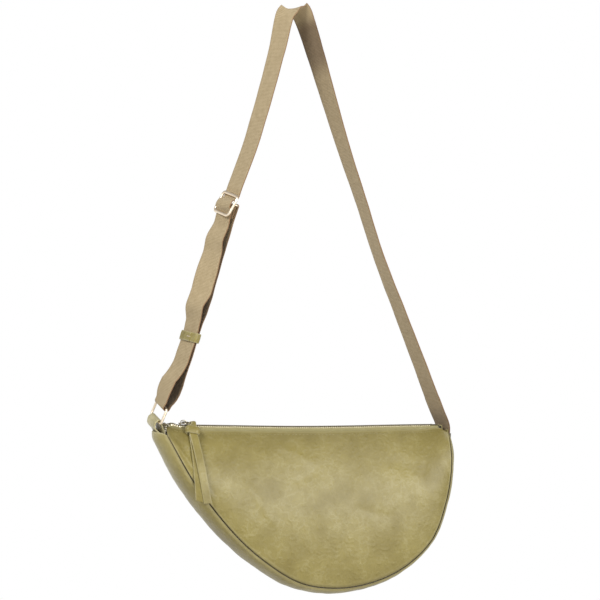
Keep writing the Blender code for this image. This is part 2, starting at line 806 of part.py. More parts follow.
pull_across_way = Vector((1.0, 0.0, 0.0))
head_way = Vector((0.0, -math.sin(HEAD_LEAN), -math.cos(HEAD_LEAN)))
head_out = Vector((0.0, -math.cos(HEAD_LEAN), math.sin(HEAD_LEAN)))
loop_way = (fall_side * math.cos(HEAD_LEAN) + Vector((0.0, 0.0, math.sin(HEAD_LEAN)))).normalized()
front_points, front_across = tail_line(
    PULL_LENGTH, FRONT_TAIL_DRIFT, FRONT_TAIL_STAND, 0.0, -1.0
)
back_points, back_across = tail_line(
    PULL_BACK_LENGTH, BACK_TAIL_DRIFT, BACK_TAIL_STAND, BACK_TAIL_TURN, 1.0
)
head_turn = PULLER_WIRE + HEAD_ROOM + PULL_THICKNESS / 2.0
head_points, head_across = [], []
for k in range(9):
    angle = math.pi * k / 8.0
    head_points.append(
        pull_pivot + loop_way * (head_turn * math.cos(angle)) - head_way * (head_turn * math.sin(angle))
    )
    head_across.append(-ring_across * HEAD_PINCH_SHARE)
pull_path = front_points[::-1] + head_points + back_points
pull_widths = front_across[::-1] + head_across + back_across
pull_strip = ribbon("pull_strip", pull_path, pull_widths, PULL_WIDTH, PULL_THICKNESS, olive_leather)
band_centre = pull_pivot + head_way * ((BAND_DROP + PULL_HEAD) / 2.0)
band_span = PULL_WIDTH + GAP + GAP + BAND_LEATHER
band_thick = PULL_THICKNESS + PULL_THICKNESS + BAND_ROOM + BAND_LEATHER
band_points = [
    band_centre + pull_across_way * across + head_out * out
    for across, out in rounded_rectangle(band_span, band_thick, BAND_LEATHER)
]
band_widths = [head_way] * len(band_points)
pull_band = ribbon(
    "pull_band", band_points, band_widths, BAND_HEIGHT, BAND_LEATHER, olive_leather, closed=True
)

# Ring and tab
ring_up = (RING_TOP - RING_BOTTOM).normalized()
ring_width_way = Vector(
    (
        math.sin(RING_TURN) * math.cos(RING_TILT),
        -math.cos(RING_TURN) * math.cos(RING_TILT),
        -math.sin(RING_TILT),
    )
)
ring_middle = (RING_TOP + RING_BOTTOM) / 2.0
ring_span = (RING_TOP - RING_BOTTOM).length
ring_width = WEB_WIDTH + 2.0 * (RING_WIRE + RING_CLEARANCE)
ring_points = [
    ring_middle + ring_width_way * across + ring_up * up
    for across, up in rounded_rectangle(ring_width, ring_span, RING_CORNER)
]
strap_ring = wire("strap_ring", ring_points, RING_WIRE, pale_gold, closed=True)

tab_turn = RING_WIRE + GAP + TAB_LEATHER / 2.0
tab_width_way = ring_width_way
tab_path = []
outer_foot = Vector((PANEL_LEFT - TAB_STAND_OFF, 0.0, RING_BOTTOM.z - TAB_END_DROP))
inner_foot = outer_foot + Vector((TAB_LEATHER + GAP, 0.0, 0.0))
tab_path.append(outer_foot)
tab_path.append(outer_foot + Vector((0.0, 0.0, TAB_END_DROP * TAB_OUTER_BEND_SHARE)))
tab_path.append(RING_BOTTOM + Vector((-tab_turn, 0.0, -tab_turn)))
for k in range(1, 8):
    angle = math.pi * k / 7.0
    tab_path.append(
        RING_BOTTOM + Vector((-tab_turn * math.cos(angle), 0.0, tab_turn * math.sin(angle)))
    )
tab_path.append(inner_foot + Vector((0.0, 0.0, TAB_END_DROP * TAB_INNER_BEND_SHARE)))
tab_path.append(inner_foot)
tab_across = []
for p in tab_path:
    part = min(max((p.z - outer_foot.z) / TAB_END_DROP, 0.0), 1.0)
    level = Vector((0.0, -1.0, 0.0))
    tab_across.append(level.lerp(tab_width_way, part).normalized())
ring_tab = ribbon("ring_tab", tab_path, tab_across, TAB_WIDTH, TAB_LEATHER, olive_leather)

# Webbing strap
slider_way = Vector((math.sin(LEFT_SLOPE), 0.0, math.cos(LEFT_SLOPE)))
keeper_way = Vector((math.sin(KEEPER_SLOPE), 0.0, math.cos(KEEPER_SLOPE)))


def width_way(up, twist):
    """The webbing's width direction on a run, turned from straight fore and aft."""
    level = Vector((up.z, 0.0, -up.x))
    return (level * math.sin(twist) + Vector((0.0, -math.cos(twist), 0.0))).normalized()


def outward_way(up, across):
    """Square to the webbing's face, on the side away from the bag's middle."""
    way = across.cross(up).normalized()
    return way if way.x < 0 else -way


keeper_low = KEEPER_PLACE - keeper_way * KEEPER_STRAIGHT_DOWN
ring_rise = (keeper_low - RING_TOP).normalized()
loop_top = RING_TOP + ring_rise * LOOP_RISE
left_guides = [Vector((x, 0.0, z)) for x, z in LEFT_RUN] + [
    SLIDER_PLACE + slider_way * SLIDER_STRAIGHT_UP,
    SLIDER_PLACE,
    SLIDER_PLACE - slider_way * SLIDER_STRAIGHT_DOWN,
    KEEPER_PLACE + keeper_way * KEEPER_STRAIGHT_UP,
    KEEPER_PLACE,
    keeper_low,
    loop_top,
]
left_line = smooth_line(left_guides, WEB_STEP)
left_ups = [-t for t in tangents(left_line)]
anchor_x = PANEL_LEFT + PANEL_WIDTH - ANCHOR_INSET
anchor = Vector((anchor_x, 0.0, RIDGE_LEFT_Z - RIDGE_FALL + ANCHOR_RISE))
right_guides = [Vector((anchor.x * out, 0.0, anchor.z * down)) for out, down in RIGHT_RUN_SHARES]
right_line = smooth_line(right_guides, WEB_STEP)
right_ups = [-t for t in tangents(right_line)]


def twist_left(z):
    """Twist by height on the left run: strongest at the apex, settled on the doubled stretch."""
    part = min(z / SLIDER_PLACE.z, 1.0)
    upper = APEX_TWIST + (LEFT_TWIST - APEX_TWIST) * min(part / UNTWIST_SHARE, 1.0)
    lower = max(0.0, part - UNTWIST_SHARE) / (1.0 - UNTWIST_SHARE)
    return upper + (DOUBLED_TWIST - LEFT_TWIST) * lower


def twist_right(z):
    middle_z = anchor.z * RIGHT_MIDDLE_SHARE
    if z > middle_z:
        settle = math.sin(math.pi / 2.0 * z / middle_z)
        return APEX_TWIST + (RIGHT_MID_TWIST - APEX_TWIST) * settle
    part = (z - middle_z) / (anchor.z - middle_z)
    return RIGHT_MID_TWIST + (RIGHT_END_TWIST - RIGHT_MID_TWIST) * part


def belly(z):
    """How far the teardrop above the ring has opened, from 0 at the keeper to 1 at the loop."""
    part = min(max((keeper_low.z - z) / (keeper_low.z - loop_top.z), 0.0), 1.0)
    return math.sin(part * math.pi / 2.0) ** 2


# The long ply: up from the ring loop, over the apex and down to the right corner
ply_step = WEB + PLY_GAP
main_points, main_across = [], []
for p, up in reversed(list(zip(left_line, left_ups))):
    across = width_way(up, twist_left(p.z))
    main_points.append(p + outward_way(up, across) * (LOOP_BELLY * belly(p.z)))
    main_across.append(across)
apex_across = width_way(Vector((0.0, 0.0, 1.0)), APEX_TWIST)
for x in (-APEX_FLAT, -APEX_FLAT / 2.0, APEX_FLAT / 2.0, APEX_FLAT):
    main_points.append(Vector((x, 0.0, WEB / 2.0)))
    main_across.append(apex_across)
for p, up in zip(right_line, right_ups):
    main_points.append(p)
    main_across.append(width_way(up, twist_right(p.z)))
strap_webbing = ribbon("strap_webbing", main_points, main_across, WEB_WIDTH, WEB, khaki_webbing)

# The loop of webbing round the ring's upper bar
loop_across = width_way(ring_rise, DOUBLED_TWIST)
loop_out = outward_way(ring_rise, loop_across)
bar_turn = RING_WIRE + GAP + GAP + WEB / 2.0
loop_side = [(LOOP_BELLY * out, LOOP_RISE * rise) for out, rise in LOOP_SIDE_SHARES]
loop_plan = list(loop_side)
for k in range(9):
    angle = math.pi * k / 8.0
    loop_plan.append((bar_turn * math.cos(angle), -bar_turn * math.sin(angle)))
loop_plan += [(-out, rise) for out, rise in reversed(loop_side)]
loop_points, loop_widths = [], []
for out, rise in loop_plan:
    part = min(max(rise / (LOOP_RISE * LOOP_UNTWIST_SHARE), 0.0), 1.0)
    across = ring_width_way.lerp(loop_across, part).normalized()
    loop_points.append(RING_TOP + ring_rise * rise + outward_way(ring_rise, across) * out)
    loop_widths.append(across)
strap_loop = ribbon("strap_loop", loop_points, loop_widths, WEB_WIDTH, WEB, khaki_webbing)

# The return ply: up behind the long ply, round the slider's middle bar, its end sewn down
bar_back = WEB / 2.0 + GAP + WEB + GAP + BAR_WIRE
wrap_turn = BAR_WIRE + GAP + WEB / 2.0
slider_across = width_way(slider_way, DOUBLED_TWIST)
slider_out = outward_way(slider_way, slider_across)


def return_offset(p):
    """How far behind the long ply the return ply runs."""
    lowest = ply_step + (LOOP_BELLY - ply_step) * belly(p.z)
    near = 1.0 - min((SLIDER_PLACE - p).length / RETURN_SPREAD, 1.0)
    return lowest + (bar_back + wrap_turn - ply_step) * near * near * (3.0 - 2.0 * near)


return_points, return_across = [], []
for p, up in reversed(list(zip(left_line, left_ups))):
    if (p - SLIDER_PLACE).dot(slider_way) > -BAR_WIRE - WEB:
        break
    across = width_way(up, twist_left(p.z))
    return_points.append(p - outward_way(up, across) * return_offset(p))
    return_across.append(across)
wrap_centre = SLIDER_PLACE - slider_out * bar_back
for k in range(9):
    angle = math.pi * k / 8.0
    swing = slider_way * math.sin(angle) - slider_out * math.cos(angle)
    return_points.append(wrap_centre + swing * wrap_turn)
    return_across.append(slider_across)
for part in RETURN_TAIL_SHARES:
    tail_place = wrap_centre + slider_out * wrap_turn - slider_way * (RETURN_TAIL * part)
    return_points.append(tail_place)
    return_across.append(slider_across)
strap_return = ribbon("strap_return", return_points, return_across, WEB_WIDTH, WEB, khaki_webbing)

# Slider frame in front of the webbing, and its middle bar behind
frame_width = WEB_WIDTH + 2.0 * (BAR_WIRE + FRAME_CLEARANCE)
frame_stand = WEB / 2.0 + GAP + GAP + FRAME_WIRE
frame_centre = SLIDER_PLACE + slider_out * frame_stand
frame_points = [
    frame_centre + slider_across * across + slider_way * up
    for across, up in rounded_rectangle(frame_width, FRAME_HEIGHT, FRAME_CORNER)
]
strap_slider = wire("strap_slider", frame_points, FRAME_WIRE, pale_gold, closed=True)
leg_tip = frame_stand - FRAME_WIRE - GAP
bar_corner = BAR_WIRE + BAR_WIRE
bar_bend = bar_corner * BAR_BEND_SHARE
bar_plan = [
    (frame_width / 2.0, leg_tip),
    (frame_width / 2.0, bar_corner - bar_back),
    (frame_width / 2.0 - bar_bend, bar_bend - bar_back),
    (frame_width / 2.0 - bar_corner, -bar_back),
]
bar_plan += [(-across, out) for across, out in reversed(bar_plan)]
bar_points = [SLIDER_PLACE + slider_across * across + slider_out * out for across, out in bar_plan]
slider_bar = wire("slider_bar", bar_points, BAR_WIRE, pale_gold)

# Keeper: a leather loop round both plies, closed with a small staple
keeper_across = width_way(keeper_way, DOUBLED_TWIST)
keeper_out = outward_way(keeper_way, keeper_across)
keeper_room = KEEPER_CLEARANCE + KEEPER_CLEARANCE + KEEPER_LEATHER
keeper_span = WEB_WIDTH + keeper_room
keeper_thick = WEB + ply_step + keeper_room
keeper_centre = KEEPER_PLACE - keeper_out * (ply_step / 2.0)
keeper_points = [
    keeper_centre + keeper_across * across + keeper_out * out
    for across, out in rounded_rectangle(keeper_span, keeper_thick, KEEPER_CORNER)
]
keeper_widths = [keeper_way] * len(keeper_points)
strap_keeper = ribbon(
    "strap_keeper", keeper_points, keeper_widths, KEEPER_HEIGHT, KEEPER_LEATHER, olive_leather, closed=True
)
staple_out = keeper_thick / 2.0 + KEEPER_LEATHER / 2.0 + GAP + STAPLE_WIRE
staple_points = [
    keeper_centre + keeper_out * staple_out + keeper_across * (STAPLE_SPAN * side)
    for side in (-0.5, 0.5)
]
keeper_staple = wire("keeper_staple", staple_points, STAPLE_WIRE, pale_gold)

# Sewn-in end of the webbing at the right corner, and the leather patch over it inside
end_way = right_ups[-1]
end_start = right_line[-1] - end_way * GAP
end_foot = anchor - Vector((0.0, 0.0, ANCHOR_DEPTH))
end_guides = [end_start, end_start.lerp(anchor, 0.5), anchor, end_foot]
end_line = smooth_line(end_guides, WEB_STEP)
end_across = []
for p, t in zip(end_line, tangents(end_line)):
    part = min(max((end_start.z - p.z) / (end_start.z - anchor.z), 0.0), 1.0)
    end_across.append(width_way(-t, RIGHT_END_TWIST * (1.0 - part)))
strap_end = ribbon("strap_end", end_line, end_across, WEB_WIDTH, WEB, khaki_webbing)
patch_middle = end_foot + Vector((WEB / 2.0 + PATCH_STAND + PATCH_LEATHER / 2.0, 0.0, 0.0))
strap_patch = block("strap_patch", patch_middle, (PATCH_LEATHER, PATCH_WIDTH, PATCH_LENGTH), GAP)
place(strap_patch, olive_leather)

# Moving pieces hang from empties on their joints
for empty_name, spot, pieces in (
    ("bag_swing_axis", RING_TOP, (front_panel, back_panel, gusset)),
    ("zip_slide_origin", Vector((bridge_x, 0.0, slider_z)), (zip_slider,)),
    ("puller_pivot", bridge_pivot, (zip_puller,)),
    ("pull_pivot", pull_pivot, (pull_strip, pull_band)),
    ("slider_origin", SLIDER_PLACE, (strap_slider, slider_bar)),
    ("keeper_origin", KEEPER_PLACE, (strap_keeper, keeper_staple)),
    ("ring_pivot", RING_BOTTOM, (strap_ring,)),
):
    parent_to(joint_empty(empty_name, spot), *pieces)
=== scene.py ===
import json
from math import asin, cos, exp, pi, radians, sin, sqrt

import bmesh
import bpy
import numpy as np
from mathutils import Matrix, Vector, noise


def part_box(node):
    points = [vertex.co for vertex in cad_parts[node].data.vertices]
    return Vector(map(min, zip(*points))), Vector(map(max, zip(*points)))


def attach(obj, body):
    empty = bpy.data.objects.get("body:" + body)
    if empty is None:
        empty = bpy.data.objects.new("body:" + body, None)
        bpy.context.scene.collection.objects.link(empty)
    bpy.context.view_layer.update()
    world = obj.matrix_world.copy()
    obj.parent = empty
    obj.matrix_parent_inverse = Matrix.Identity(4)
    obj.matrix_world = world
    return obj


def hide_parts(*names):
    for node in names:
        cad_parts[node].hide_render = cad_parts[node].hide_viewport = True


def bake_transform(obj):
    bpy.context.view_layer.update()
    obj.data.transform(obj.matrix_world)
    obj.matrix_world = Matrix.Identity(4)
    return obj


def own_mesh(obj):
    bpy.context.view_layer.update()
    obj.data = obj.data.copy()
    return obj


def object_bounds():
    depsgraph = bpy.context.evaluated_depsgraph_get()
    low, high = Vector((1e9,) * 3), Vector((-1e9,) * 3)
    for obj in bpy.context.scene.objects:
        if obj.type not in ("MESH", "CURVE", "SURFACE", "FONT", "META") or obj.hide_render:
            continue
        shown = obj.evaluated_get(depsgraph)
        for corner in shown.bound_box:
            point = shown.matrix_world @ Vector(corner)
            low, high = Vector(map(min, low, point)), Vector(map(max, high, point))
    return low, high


# Crescent crossbody bag hanging from its webbing strap: the looks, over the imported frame.
# Metres; X runs to the right of the bag's front, the front faces -Y, Z is up.
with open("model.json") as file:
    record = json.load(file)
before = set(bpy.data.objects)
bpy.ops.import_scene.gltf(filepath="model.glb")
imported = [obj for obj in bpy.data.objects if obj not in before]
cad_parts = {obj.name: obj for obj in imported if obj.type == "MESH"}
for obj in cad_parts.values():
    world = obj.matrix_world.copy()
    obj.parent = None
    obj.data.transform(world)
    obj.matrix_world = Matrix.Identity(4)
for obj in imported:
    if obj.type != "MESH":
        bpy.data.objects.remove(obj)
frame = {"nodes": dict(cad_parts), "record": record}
cad_low, cad_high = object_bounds()


# Camera: the photograph looks at the bag level, from a little to its left.
# The frame is square, and the bag with its strap nearly fills its height.
CAMERA_TURN = radians(16)
CAMERA_DISTANCE = 2.3
CAMERA_AIM = Vector((0.0075, 0.0, -0.348))
FRAME_SIDE = 0.72
SENSOR_MM = 36.0
FAR_LIMIT = 20.0


def add_camera():
    data = bpy.data.cameras.new("camera")
    data.sensor_width = SENSOR_MM
    data.lens = SENSOR_MM * CAMERA_DISTANCE / FRAME_SIDE
    data.clip_end = FAR_LIMIT
    camera = bpy.data.objects.new("camera", data)
    sight = Vector((sin(CAMERA_TURN), cos(CAMERA_TURN), 0.0))
    camera.location = CAMERA_AIM - sight * CAMERA_DISTANCE
    camera.rotation_euler = sight.to_track_quat("-Z", "Y").to_euler()
    bpy.context.scene.collection.objects.link(camera)
    bpy.context.scene.camera = camera


add_camera()


# Studio: a pale plain floor below the hanging bag, a white surround and two soft lights.
# The brighter one stands to the left and a little above, as the strap's lit outer face shows.
FLOOR_DROP = 0.32
FLOOR_RADIUS = 1.5
FLOOR_CORNERS = 96
FLOOR_COLOUR = "EFEDE8"
FLOOR_ROUGHNESS = 0.9
BACKDROP = 1.0
SURROUND = 0.36
ROOM_DARK = 0.05
ROOM_LOW = 0.10
ROOM_HIGH = 0.55
KEY_PLACE = Vector((-1.45, -0.84, 1.10))
KEY_SIZE = 1.0
KEY_POWER = 29.0
FILL_PLACE = Vector((0.80, -1.98, 0.02))
FILL_SIZE = 0.8
FILL_POWER = 25.0


def to_linear(hex_colour):
    """Linear red, green and blue of an sRGB colour such as A09560."""
    found = []
    for at in (0, 2, 4):
        value = int(hex_colour[at:at + 2], 16) / 255.0
        found.append(value / 12.92 if value <= 0.04045 else ((value + 0.055) / 1.055) ** 2.4)
    return tuple(found)


def set_inputs(tree, node, inputs):
    """Each input takes a value, a colour as hex text, or another node's socket."""
    for name, value in inputs.items():
        socket = node.inputs[name]
        if isinstance(value, bpy.types.NodeSocket):
            tree.links.new(value, socket)
        else:
            socket.default_value = (*to_linear(value), 1.0) if isinstance(value, str) else value


def add_node(tree, kind, inputs=None, **settings):
    """A shader node with its settings and its inputs."""
    node = tree.nodes.new(kind)
    for name, value in settings.items():
        setattr(node, name, value)
    set_inputs(tree, node, inputs or {})
    return node


def maths(tree, operation, *values):
    return add_node(tree, "ShaderNodeMath", dict(enumerate(values)), operation=operation).outputs[0]


def new_material(name):
    material = bpy.data.materials.new(name)
    material.use_nodes = True
    return material, material.node_tree, material.node_tree.nodes["Principled BSDF"]


def remap(tree, value, low, high, new_low=0.0, new_high=1.0):
    inputs = {"Value": value, "From Min": low, "From Max": high, "To Min": new_low, "To Max": new_high}
    return add_node(tree, "ShaderNodeMapRange", inputs).outputs["Result"]


def add_light(name, place, aim, size, power):
    data = bpy.data.lights.new(name, "AREA")
    data.shape = "DISK"
    data.size = size
    data.energy = power
    light = bpy.data.objects.new(name, data)
    light.location = place
    light.rotation_euler = (aim - place).to_track_quat("-Z", "Y").to_euler()
    bpy.context.scene.collection.objects.link(light)


def add_studio():
    bpy.ops.mesh.primitive_circle_add(
        vertices=FLOOR_CORNERS, radius=FLOOR_RADIUS, fill_type="NGON",
        location=(0.0, 0.0, cad_low.z - FLOOR_DROP),
    )
    floor = bpy.context.object
    floor.name = "floor"
    material, tree, shader = new_material("floor_paint")
    set_inputs(tree, shader, {"Base Color": FLOOR_COLOUR, "Roughness": FLOOR_ROUGHNESS})
    floor.data.materials.append(material)
    world = bpy.data.worlds.new("surround")
    world.use_nodes = True
    tree = world.node_tree
    rays = add_node(tree, "ShaderNodeLightPath").outputs
    way = add_node(tree, "ShaderNodeTexCoord").outputs["Generated"]
    height = add_node(tree, "ShaderNodeSeparateXYZ", {"Vector": way}).outputs["Z"]
    room = remap(tree, height, ROOM_LOW, ROOM_HIGH, BACKDROP, ROOM_DARK)
    glossy = maths(tree, "MULTIPLY", rays["Is Glossy Ray"], room)
    bright = maths(tree, "MAXIMUM", rays["Is Camera Ray"], glossy)
    strength = remap(tree, bright, 0.0, 1.0, SURROUND, BACKDROP)
    set_inputs(tree, tree.nodes["Background"], {"Color": "FFFFFF", "Strength": strength})
    bpy.context.scene.world = world
    bpy.context.scene.view_settings.view_transform = "Standard"
    add_light("key", KEY_PLACE, CAMERA_AIM, KEY_SIZE, KEY_POWER)
    add_light("fill", FILL_PLACE, CAMERA_AIM, FILL_SIZE, FILL_POWER)


add_studio()


# Front and back panels: half-moons of smooth waxed leather, folded over beside the zip and turned in
# at the seam round the gusset. The soft shell sags between its ends and puckers along the curved seam.
# Its waxed face is mottled and paler where it is rubbed, and painted shade darkens the band under its top
# fold and its seam's groove. A stitched row holds its top edge to the zip.
MM = 1000.0
X_WAY, Y_WAY, UP = (Vector(way) for way in ((1.0, 0.0, 0.0), (0.0, 1.0, 0.0), (0.0, 0.0, 1.0)))
PANEL_LEFT = -0.158
PANEL_WIDTH = 0.3475
PANEL_HEIGHT = 0.194
RIDGE_LEFT_Z = -0.4955
RIDGE_FALL = 0.0055
EDGE_DROP = 0.0055
LEFT_CORNER_RISE = 0.0055
LEFT_CORNER_SHARE = 0.13
RIGHT_CORNER_RISE = 0.0022
RIGHT_CORNER_SHARE = 0.10
TOP_RIGHT_SHARE = 0.982
TOP_HALF_GAP = 0.008
END_HALF_DEPTH = 0.020
FULL_HALF_DEPTH = 0.038
PANEL_BULGE = 0.012
# The seam's outline, as shares of the panel's width from the left and of its height from the ridge
SEAM_SHARES = (
    (0.000, 0.060), (0.084, 0.340), (0.220, 0.655), (0.327, 0.828), (0.447, 0.960),
    (0.560, 1.000), (0.680, 0.985), (0.810, 0.900), (0.920, 0.733), (0.975, 0.510),
    (1.004, 0.260), (1.002, 0.074),
)
ZIP_SAG = 0.0020
LEATHER = 0.0010
LIP = 0.0013
TURN_IN = 0.0030
FOLD_IN = 0.0050
GROOVE = 0.0003
SLOPE_STEP_SHARE = 0.01
SEAM_SAMPLES = 400
PANEL_COLUMNS = 190
PANEL_ROWS = 70
FOLD_STEPS = 6
FOLD_SLOPE_STEP = 0.04
# Steps within a rolled edge's radius, as shares of it, from the face to the seam
ROLL_SHARES = (1.0, 0.65, 0.35, 0.15, 0.04, 0.0)
RELIEF_EASE = 0.004
BROAD_WAVE = 0.062
BROAD_RELIEF = 0.0011
SMALL_WAVE = 0.021
SMALL_RELIEF = 0.00028
PUCKER_WAVE = 0.0085
PUCKER_RELIEF = 0.00045
PUCKER_REACH = 0.011
# Creases: share and drop of both ends, width in metres, height in metres (below zero is a dent)
CREASES = (
    ((0.035, 0.70), (0.16, 0.86), 0.0045, 0.0013),
    ((0.02, 0.45), (0.12, 0.55), 0.0060, -0.0010),
    ((0.40, 0.10), (0.50, 0.22), 0.0040, 0.0005),
    ((0.50, 0.22), (0.44, 0.32), 0.0045, -0.0005),
    ((0.72, 0.25), (0.80, 0.42), 0.0080, -0.0006),
    ((0.30, 0.48), (0.36, 0.66), 0.0060, 0.0006),
    ((0.58, 0.50), (0.66, 0.60), 0.0050, -0.0005),
)
LEATHER_MID = "8D7F3D"
LEATHER_LIGHT = "A99C5B"
LEATHER_DARK = "76692F"
# Pale colour of rubbed wear, also used for painted sheen and for the pale vein lines
LEATHER_RUBBED_AND_SHEEN = "B7AD80"
# Painted shade: the dark colour that the shade values mix in, in the seam's groove, the turned-in edges and
# under the top fold
LEATHER_PAINTED_SHADE = "52482A"
# Pale vein lines, which also stand for painted highlights on fine wrinkles
VEIN_AND_HIGHLIGHT_REACH = 0.05
VEIN_AND_HIGHLIGHT_STRENGTH = 0.23
RUB_REACH = 0.0022
# How far the painted shade in the seam's groove reaches
SEAM_SHADE_REACH = 0.0009
SEAM_RUB = 0.55
FOLD_RUB = 0.6
FOLD_RUB_REACH = 0.0012
CREST = 0.0009
CREST_RUB = 120.0
# Painted shade on the band under the top fold, and a little on the hem inside the fold
FOLD_SHADE = 0.22
FOLD_SHADE_REACH = 0.016
HEM_RUB = 0.25
HEM_SHADE = 0.1
MOTTLE_MM = 42.0
VEIN_AND_HIGHLIGHT_FIELD_MM = 15.0
PORE_MM = 0.9
PORE_DEPTH = 0.0001
FACE_WRINKLE_MM = 5.5
FACE_WRINKLE_DEPTH = 0.0009
THREAD = 0.00032
THREAD_SIDES = 6
STITCH_RINGS = 6
THREAD_TWIST_MM = 0.35
STITCH = 0.0028
STITCH_GAP = 0.0009
STITCH_DROP = 0.0034
STITCH_END_SHARE = 0.03
STITCH_COLOUR = "B3A878"
STITCH_DARK = "6F6436"


def mix_colours(tree, factor, first, second):
    """Mixes two colours, given as hex text or as sockets."""
    return add_node(tree, "ShaderNodeMix", {0: factor, 6: first, 7: second}, data_type="RGBA").outputs[2]


def millimetres(tree, stretch=(1.0, 1.0, 1.0)):
    """The object's own coordinates in millimetres, so that a pattern's scale is one over its size."""
    place = add_node(tree, "ShaderNodeTexCoord").outputs["Object"]
    scale = tuple(MM * s for s in stretch)
    return add_node(tree, "ShaderNodeVectorMath", {0: place, 1: scale}, operation="MULTIPLY").outputs[0]


def noise_texture(tree, place, size_mm, detail=2.0, roughness=0.5, **settings):
    inputs = {"Vector": place, "Scale": 1.0 / size_mm, "Detail": detail, "Roughness": roughness}
    return add_node(tree, "ShaderNodeTexNoise", inputs, **settings).outputs["Fac"]


def point_value(tree, name):
    return add_node(tree, "ShaderNodeAttribute", attribute_name=name).outputs["Fac"]


def bump(tree, height, distance, strength=1.0, under=None):
    inputs = {"Height": height, "Distance": distance, "Strength": strength}
    if under is not None:
        inputs["Normal"] = under
    return add_node(tree, "ShaderNodeBump", inputs).outputs["Normal"]


def leather(name, mid, light, grain=1.0, mottle_mm=MOTTLE_MM):
    """Waxed smooth leather: broad mottling, veins that also paint the highlights of fine wrinkles, fine
    pores and wrinkles, paler rubbed edges, and painted sheen and shade where the points carry them.
    """
    material, tree, shader = new_material(name)
    place = millimetres(tree)
    broad = noise_texture(tree, place, mottle_mm, 4.0, 0.6)
    # Vein lines mixed pale, which also paint the highlights of fine wrinkles
    field = noise_texture(tree, place, VEIN_AND_HIGHLIGHT_FIELD_MM, 3.5, 0.55)
    from_streak = maths(tree, "ABSOLUTE", maths(tree, "SUBTRACT", field, 0.5))
    line = remap(tree, from_streak, 0.0, VEIN_AND_HIGHLIGHT_REACH, VEIN_AND_HIGHLIGHT_STRENGTH * grain, 0.0)
    veins_and_highlights = maths(tree, "MULTIPLY", line, remap(tree, broad, 0.42, 0.6, 0.25, 1.0))
    colour = mix_colours(tree, remap(tree, broad, 0.36, 0.66), LEATHER_DARK, light)
    colour = mix_colours(tree, 0.6, colour, mid)
    colour = mix_colours(tree, veins_and_highlights, colour, LEATHER_RUBBED_AND_SHEEN)
    cells = {"Vector": place, "Scale": 1.0 / PORE_MM, "Randomness": 1.0}
    pores = add_node(tree, "ShaderNodeTexVoronoi", cells, feature="DISTANCE_TO_EDGE").outputs["Distance"]
    colour = mix_colours(tree, remap(tree, pores, 0.0, 0.12, 0.22 * grain, 0.0), colour, LEATHER_DARK)
    # Paler rubbed wear, and painted sheen on the gusset's left end
    colour = mix_colours(tree, point_value(tree, "wear_and_sheen"), colour, LEATHER_RUBBED_AND_SHEEN)
    # Painted shade wherever the points' shade values call for it
    colour = mix_colours(tree, point_value(tree, "shade"), colour, LEATHER_PAINTED_SHADE)
    wrinkles = noise_texture(tree, place, FACE_WRINKLE_MM, 6.0, 0.62, noise_type="RIDGED_MULTIFRACTAL")
    normal = bump(tree, wrinkles, FACE_WRINKLE_DEPTH * grain, 0.9)
    normal = bump(tree, remap(tree, pores, 0.0, 0.25), PORE_DEPTH * grain, 0.5, normal)
    set_inputs(tree, shader, {
        "Base Color": colour, "Normal": normal, "Roughness": remap(tree, broad, 0.3, 0.7, 0.50, 0.40),
        "Specular IOR Level": 0.42, "Sheen Weight": 0.3, "Sheen Roughness": 0.4,
        "Coat Weight": 0.35, "Coat Roughness": 0.38,
    })
    return material


def cubic_line(points, steps):
    """Centripetal curve through the points, sampled in about that many steps."""
    total = sum((b - a).length for a, b in zip(points, points[1:]))
    out = []
    for i in range(len(points) - 1):
        p1, p2 = points[i], points[i + 1]
        p0 = points[i - 1] if i else p1 + (p1 - p2)
        p3 = points[i + 2] if i + 2 < len(points) else p2 + (p2 - p1)
        t1 = (p1 - p0).length ** 0.5
        t2 = t1 + (p2 - p1).length ** 0.5
        t3 = t2 + (p3 - p2).length ** 0.5
        pieces = max(1, round(steps * (p2 - p1).length / total))
        for k in range(pieces):
            t = t1 + (t2 - t1) * k / pieces
            a1 = p0 * ((t1 - t) / t1) + p1 * (t / t1)
            a2 = p1 * ((t2 - t) / (t2 - t1)) + p2 * ((t - t1) / (t2 - t1))
            a3 = p2 * ((t3 - t) / (t3 - t2)) + p3 * ((t - t2) / (t3 - t2))
            b1 = a1 * ((t2 - t) / t2) + a2 * (t / t2)
            b2 = a2 * ((t3 - t) / (t3 - t1)) + a3 * ((t - t1) / (t3 - t1))
            out.append(b1 * ((t2 - t) / (t2 - t1)) + b2 * ((t - t1) / (t2 - t1)))
    out.append(points[-1].copy())
    return out


def reaches(points):
    found = [0.0]
    for a, b in zip(points, points[1:]):
        found.append(found[-1] + (b - a).length)
    return found


def even_line(points, count):
    """The same line in evenly spaced points."""
    reach = reaches(points)
    out, at = [], 0
    for k in range(count + 1):
        want = reach[-1] * k / count
        while at < len(points) - 2 and reach[at + 1] < want:
            at += 1
        part = (want - reach[at]) / (reach[at + 1] - reach[at])
        out.append(points[at].lerp(points[at + 1], part))
    return out


def clamp(value):
    return min(max(value, 0.0), 1.0)


def smooth_step(part):
    return part * part * (3.0 - 2.0 * part)


def bell(distance, reach):
    return exp(-(distance / reach) ** 2)


def in_plane(x, z):
    return Vector((x, 0.0, z))


def mirrored(p, side):
    """A front point (side -1) as it is, or the back's point that matches it (side 1)."""
    return Vector((p.x, -side * p.y, p.z))


seam_corners = [
    in_plane(PANEL_LEFT + PANEL_WIDTH * across, RIDGE_LEFT_Z - PANEL_HEIGHT * down)
    for across, down in SEAM_SHARES
]
seam_line = even_line(cubic_line(seam_corners, SEAM_SAMPLES), SEAM_SAMPLES)
seam_length = reaches(seam_line)[-1]


def seam_point(share):
    at = clamp(share) * SEAM_SAMPLES
    low = min(int(at), SEAM_SAMPLES - 1)
    return seam_line[low].lerp(seam_line[low + 1], at - low)


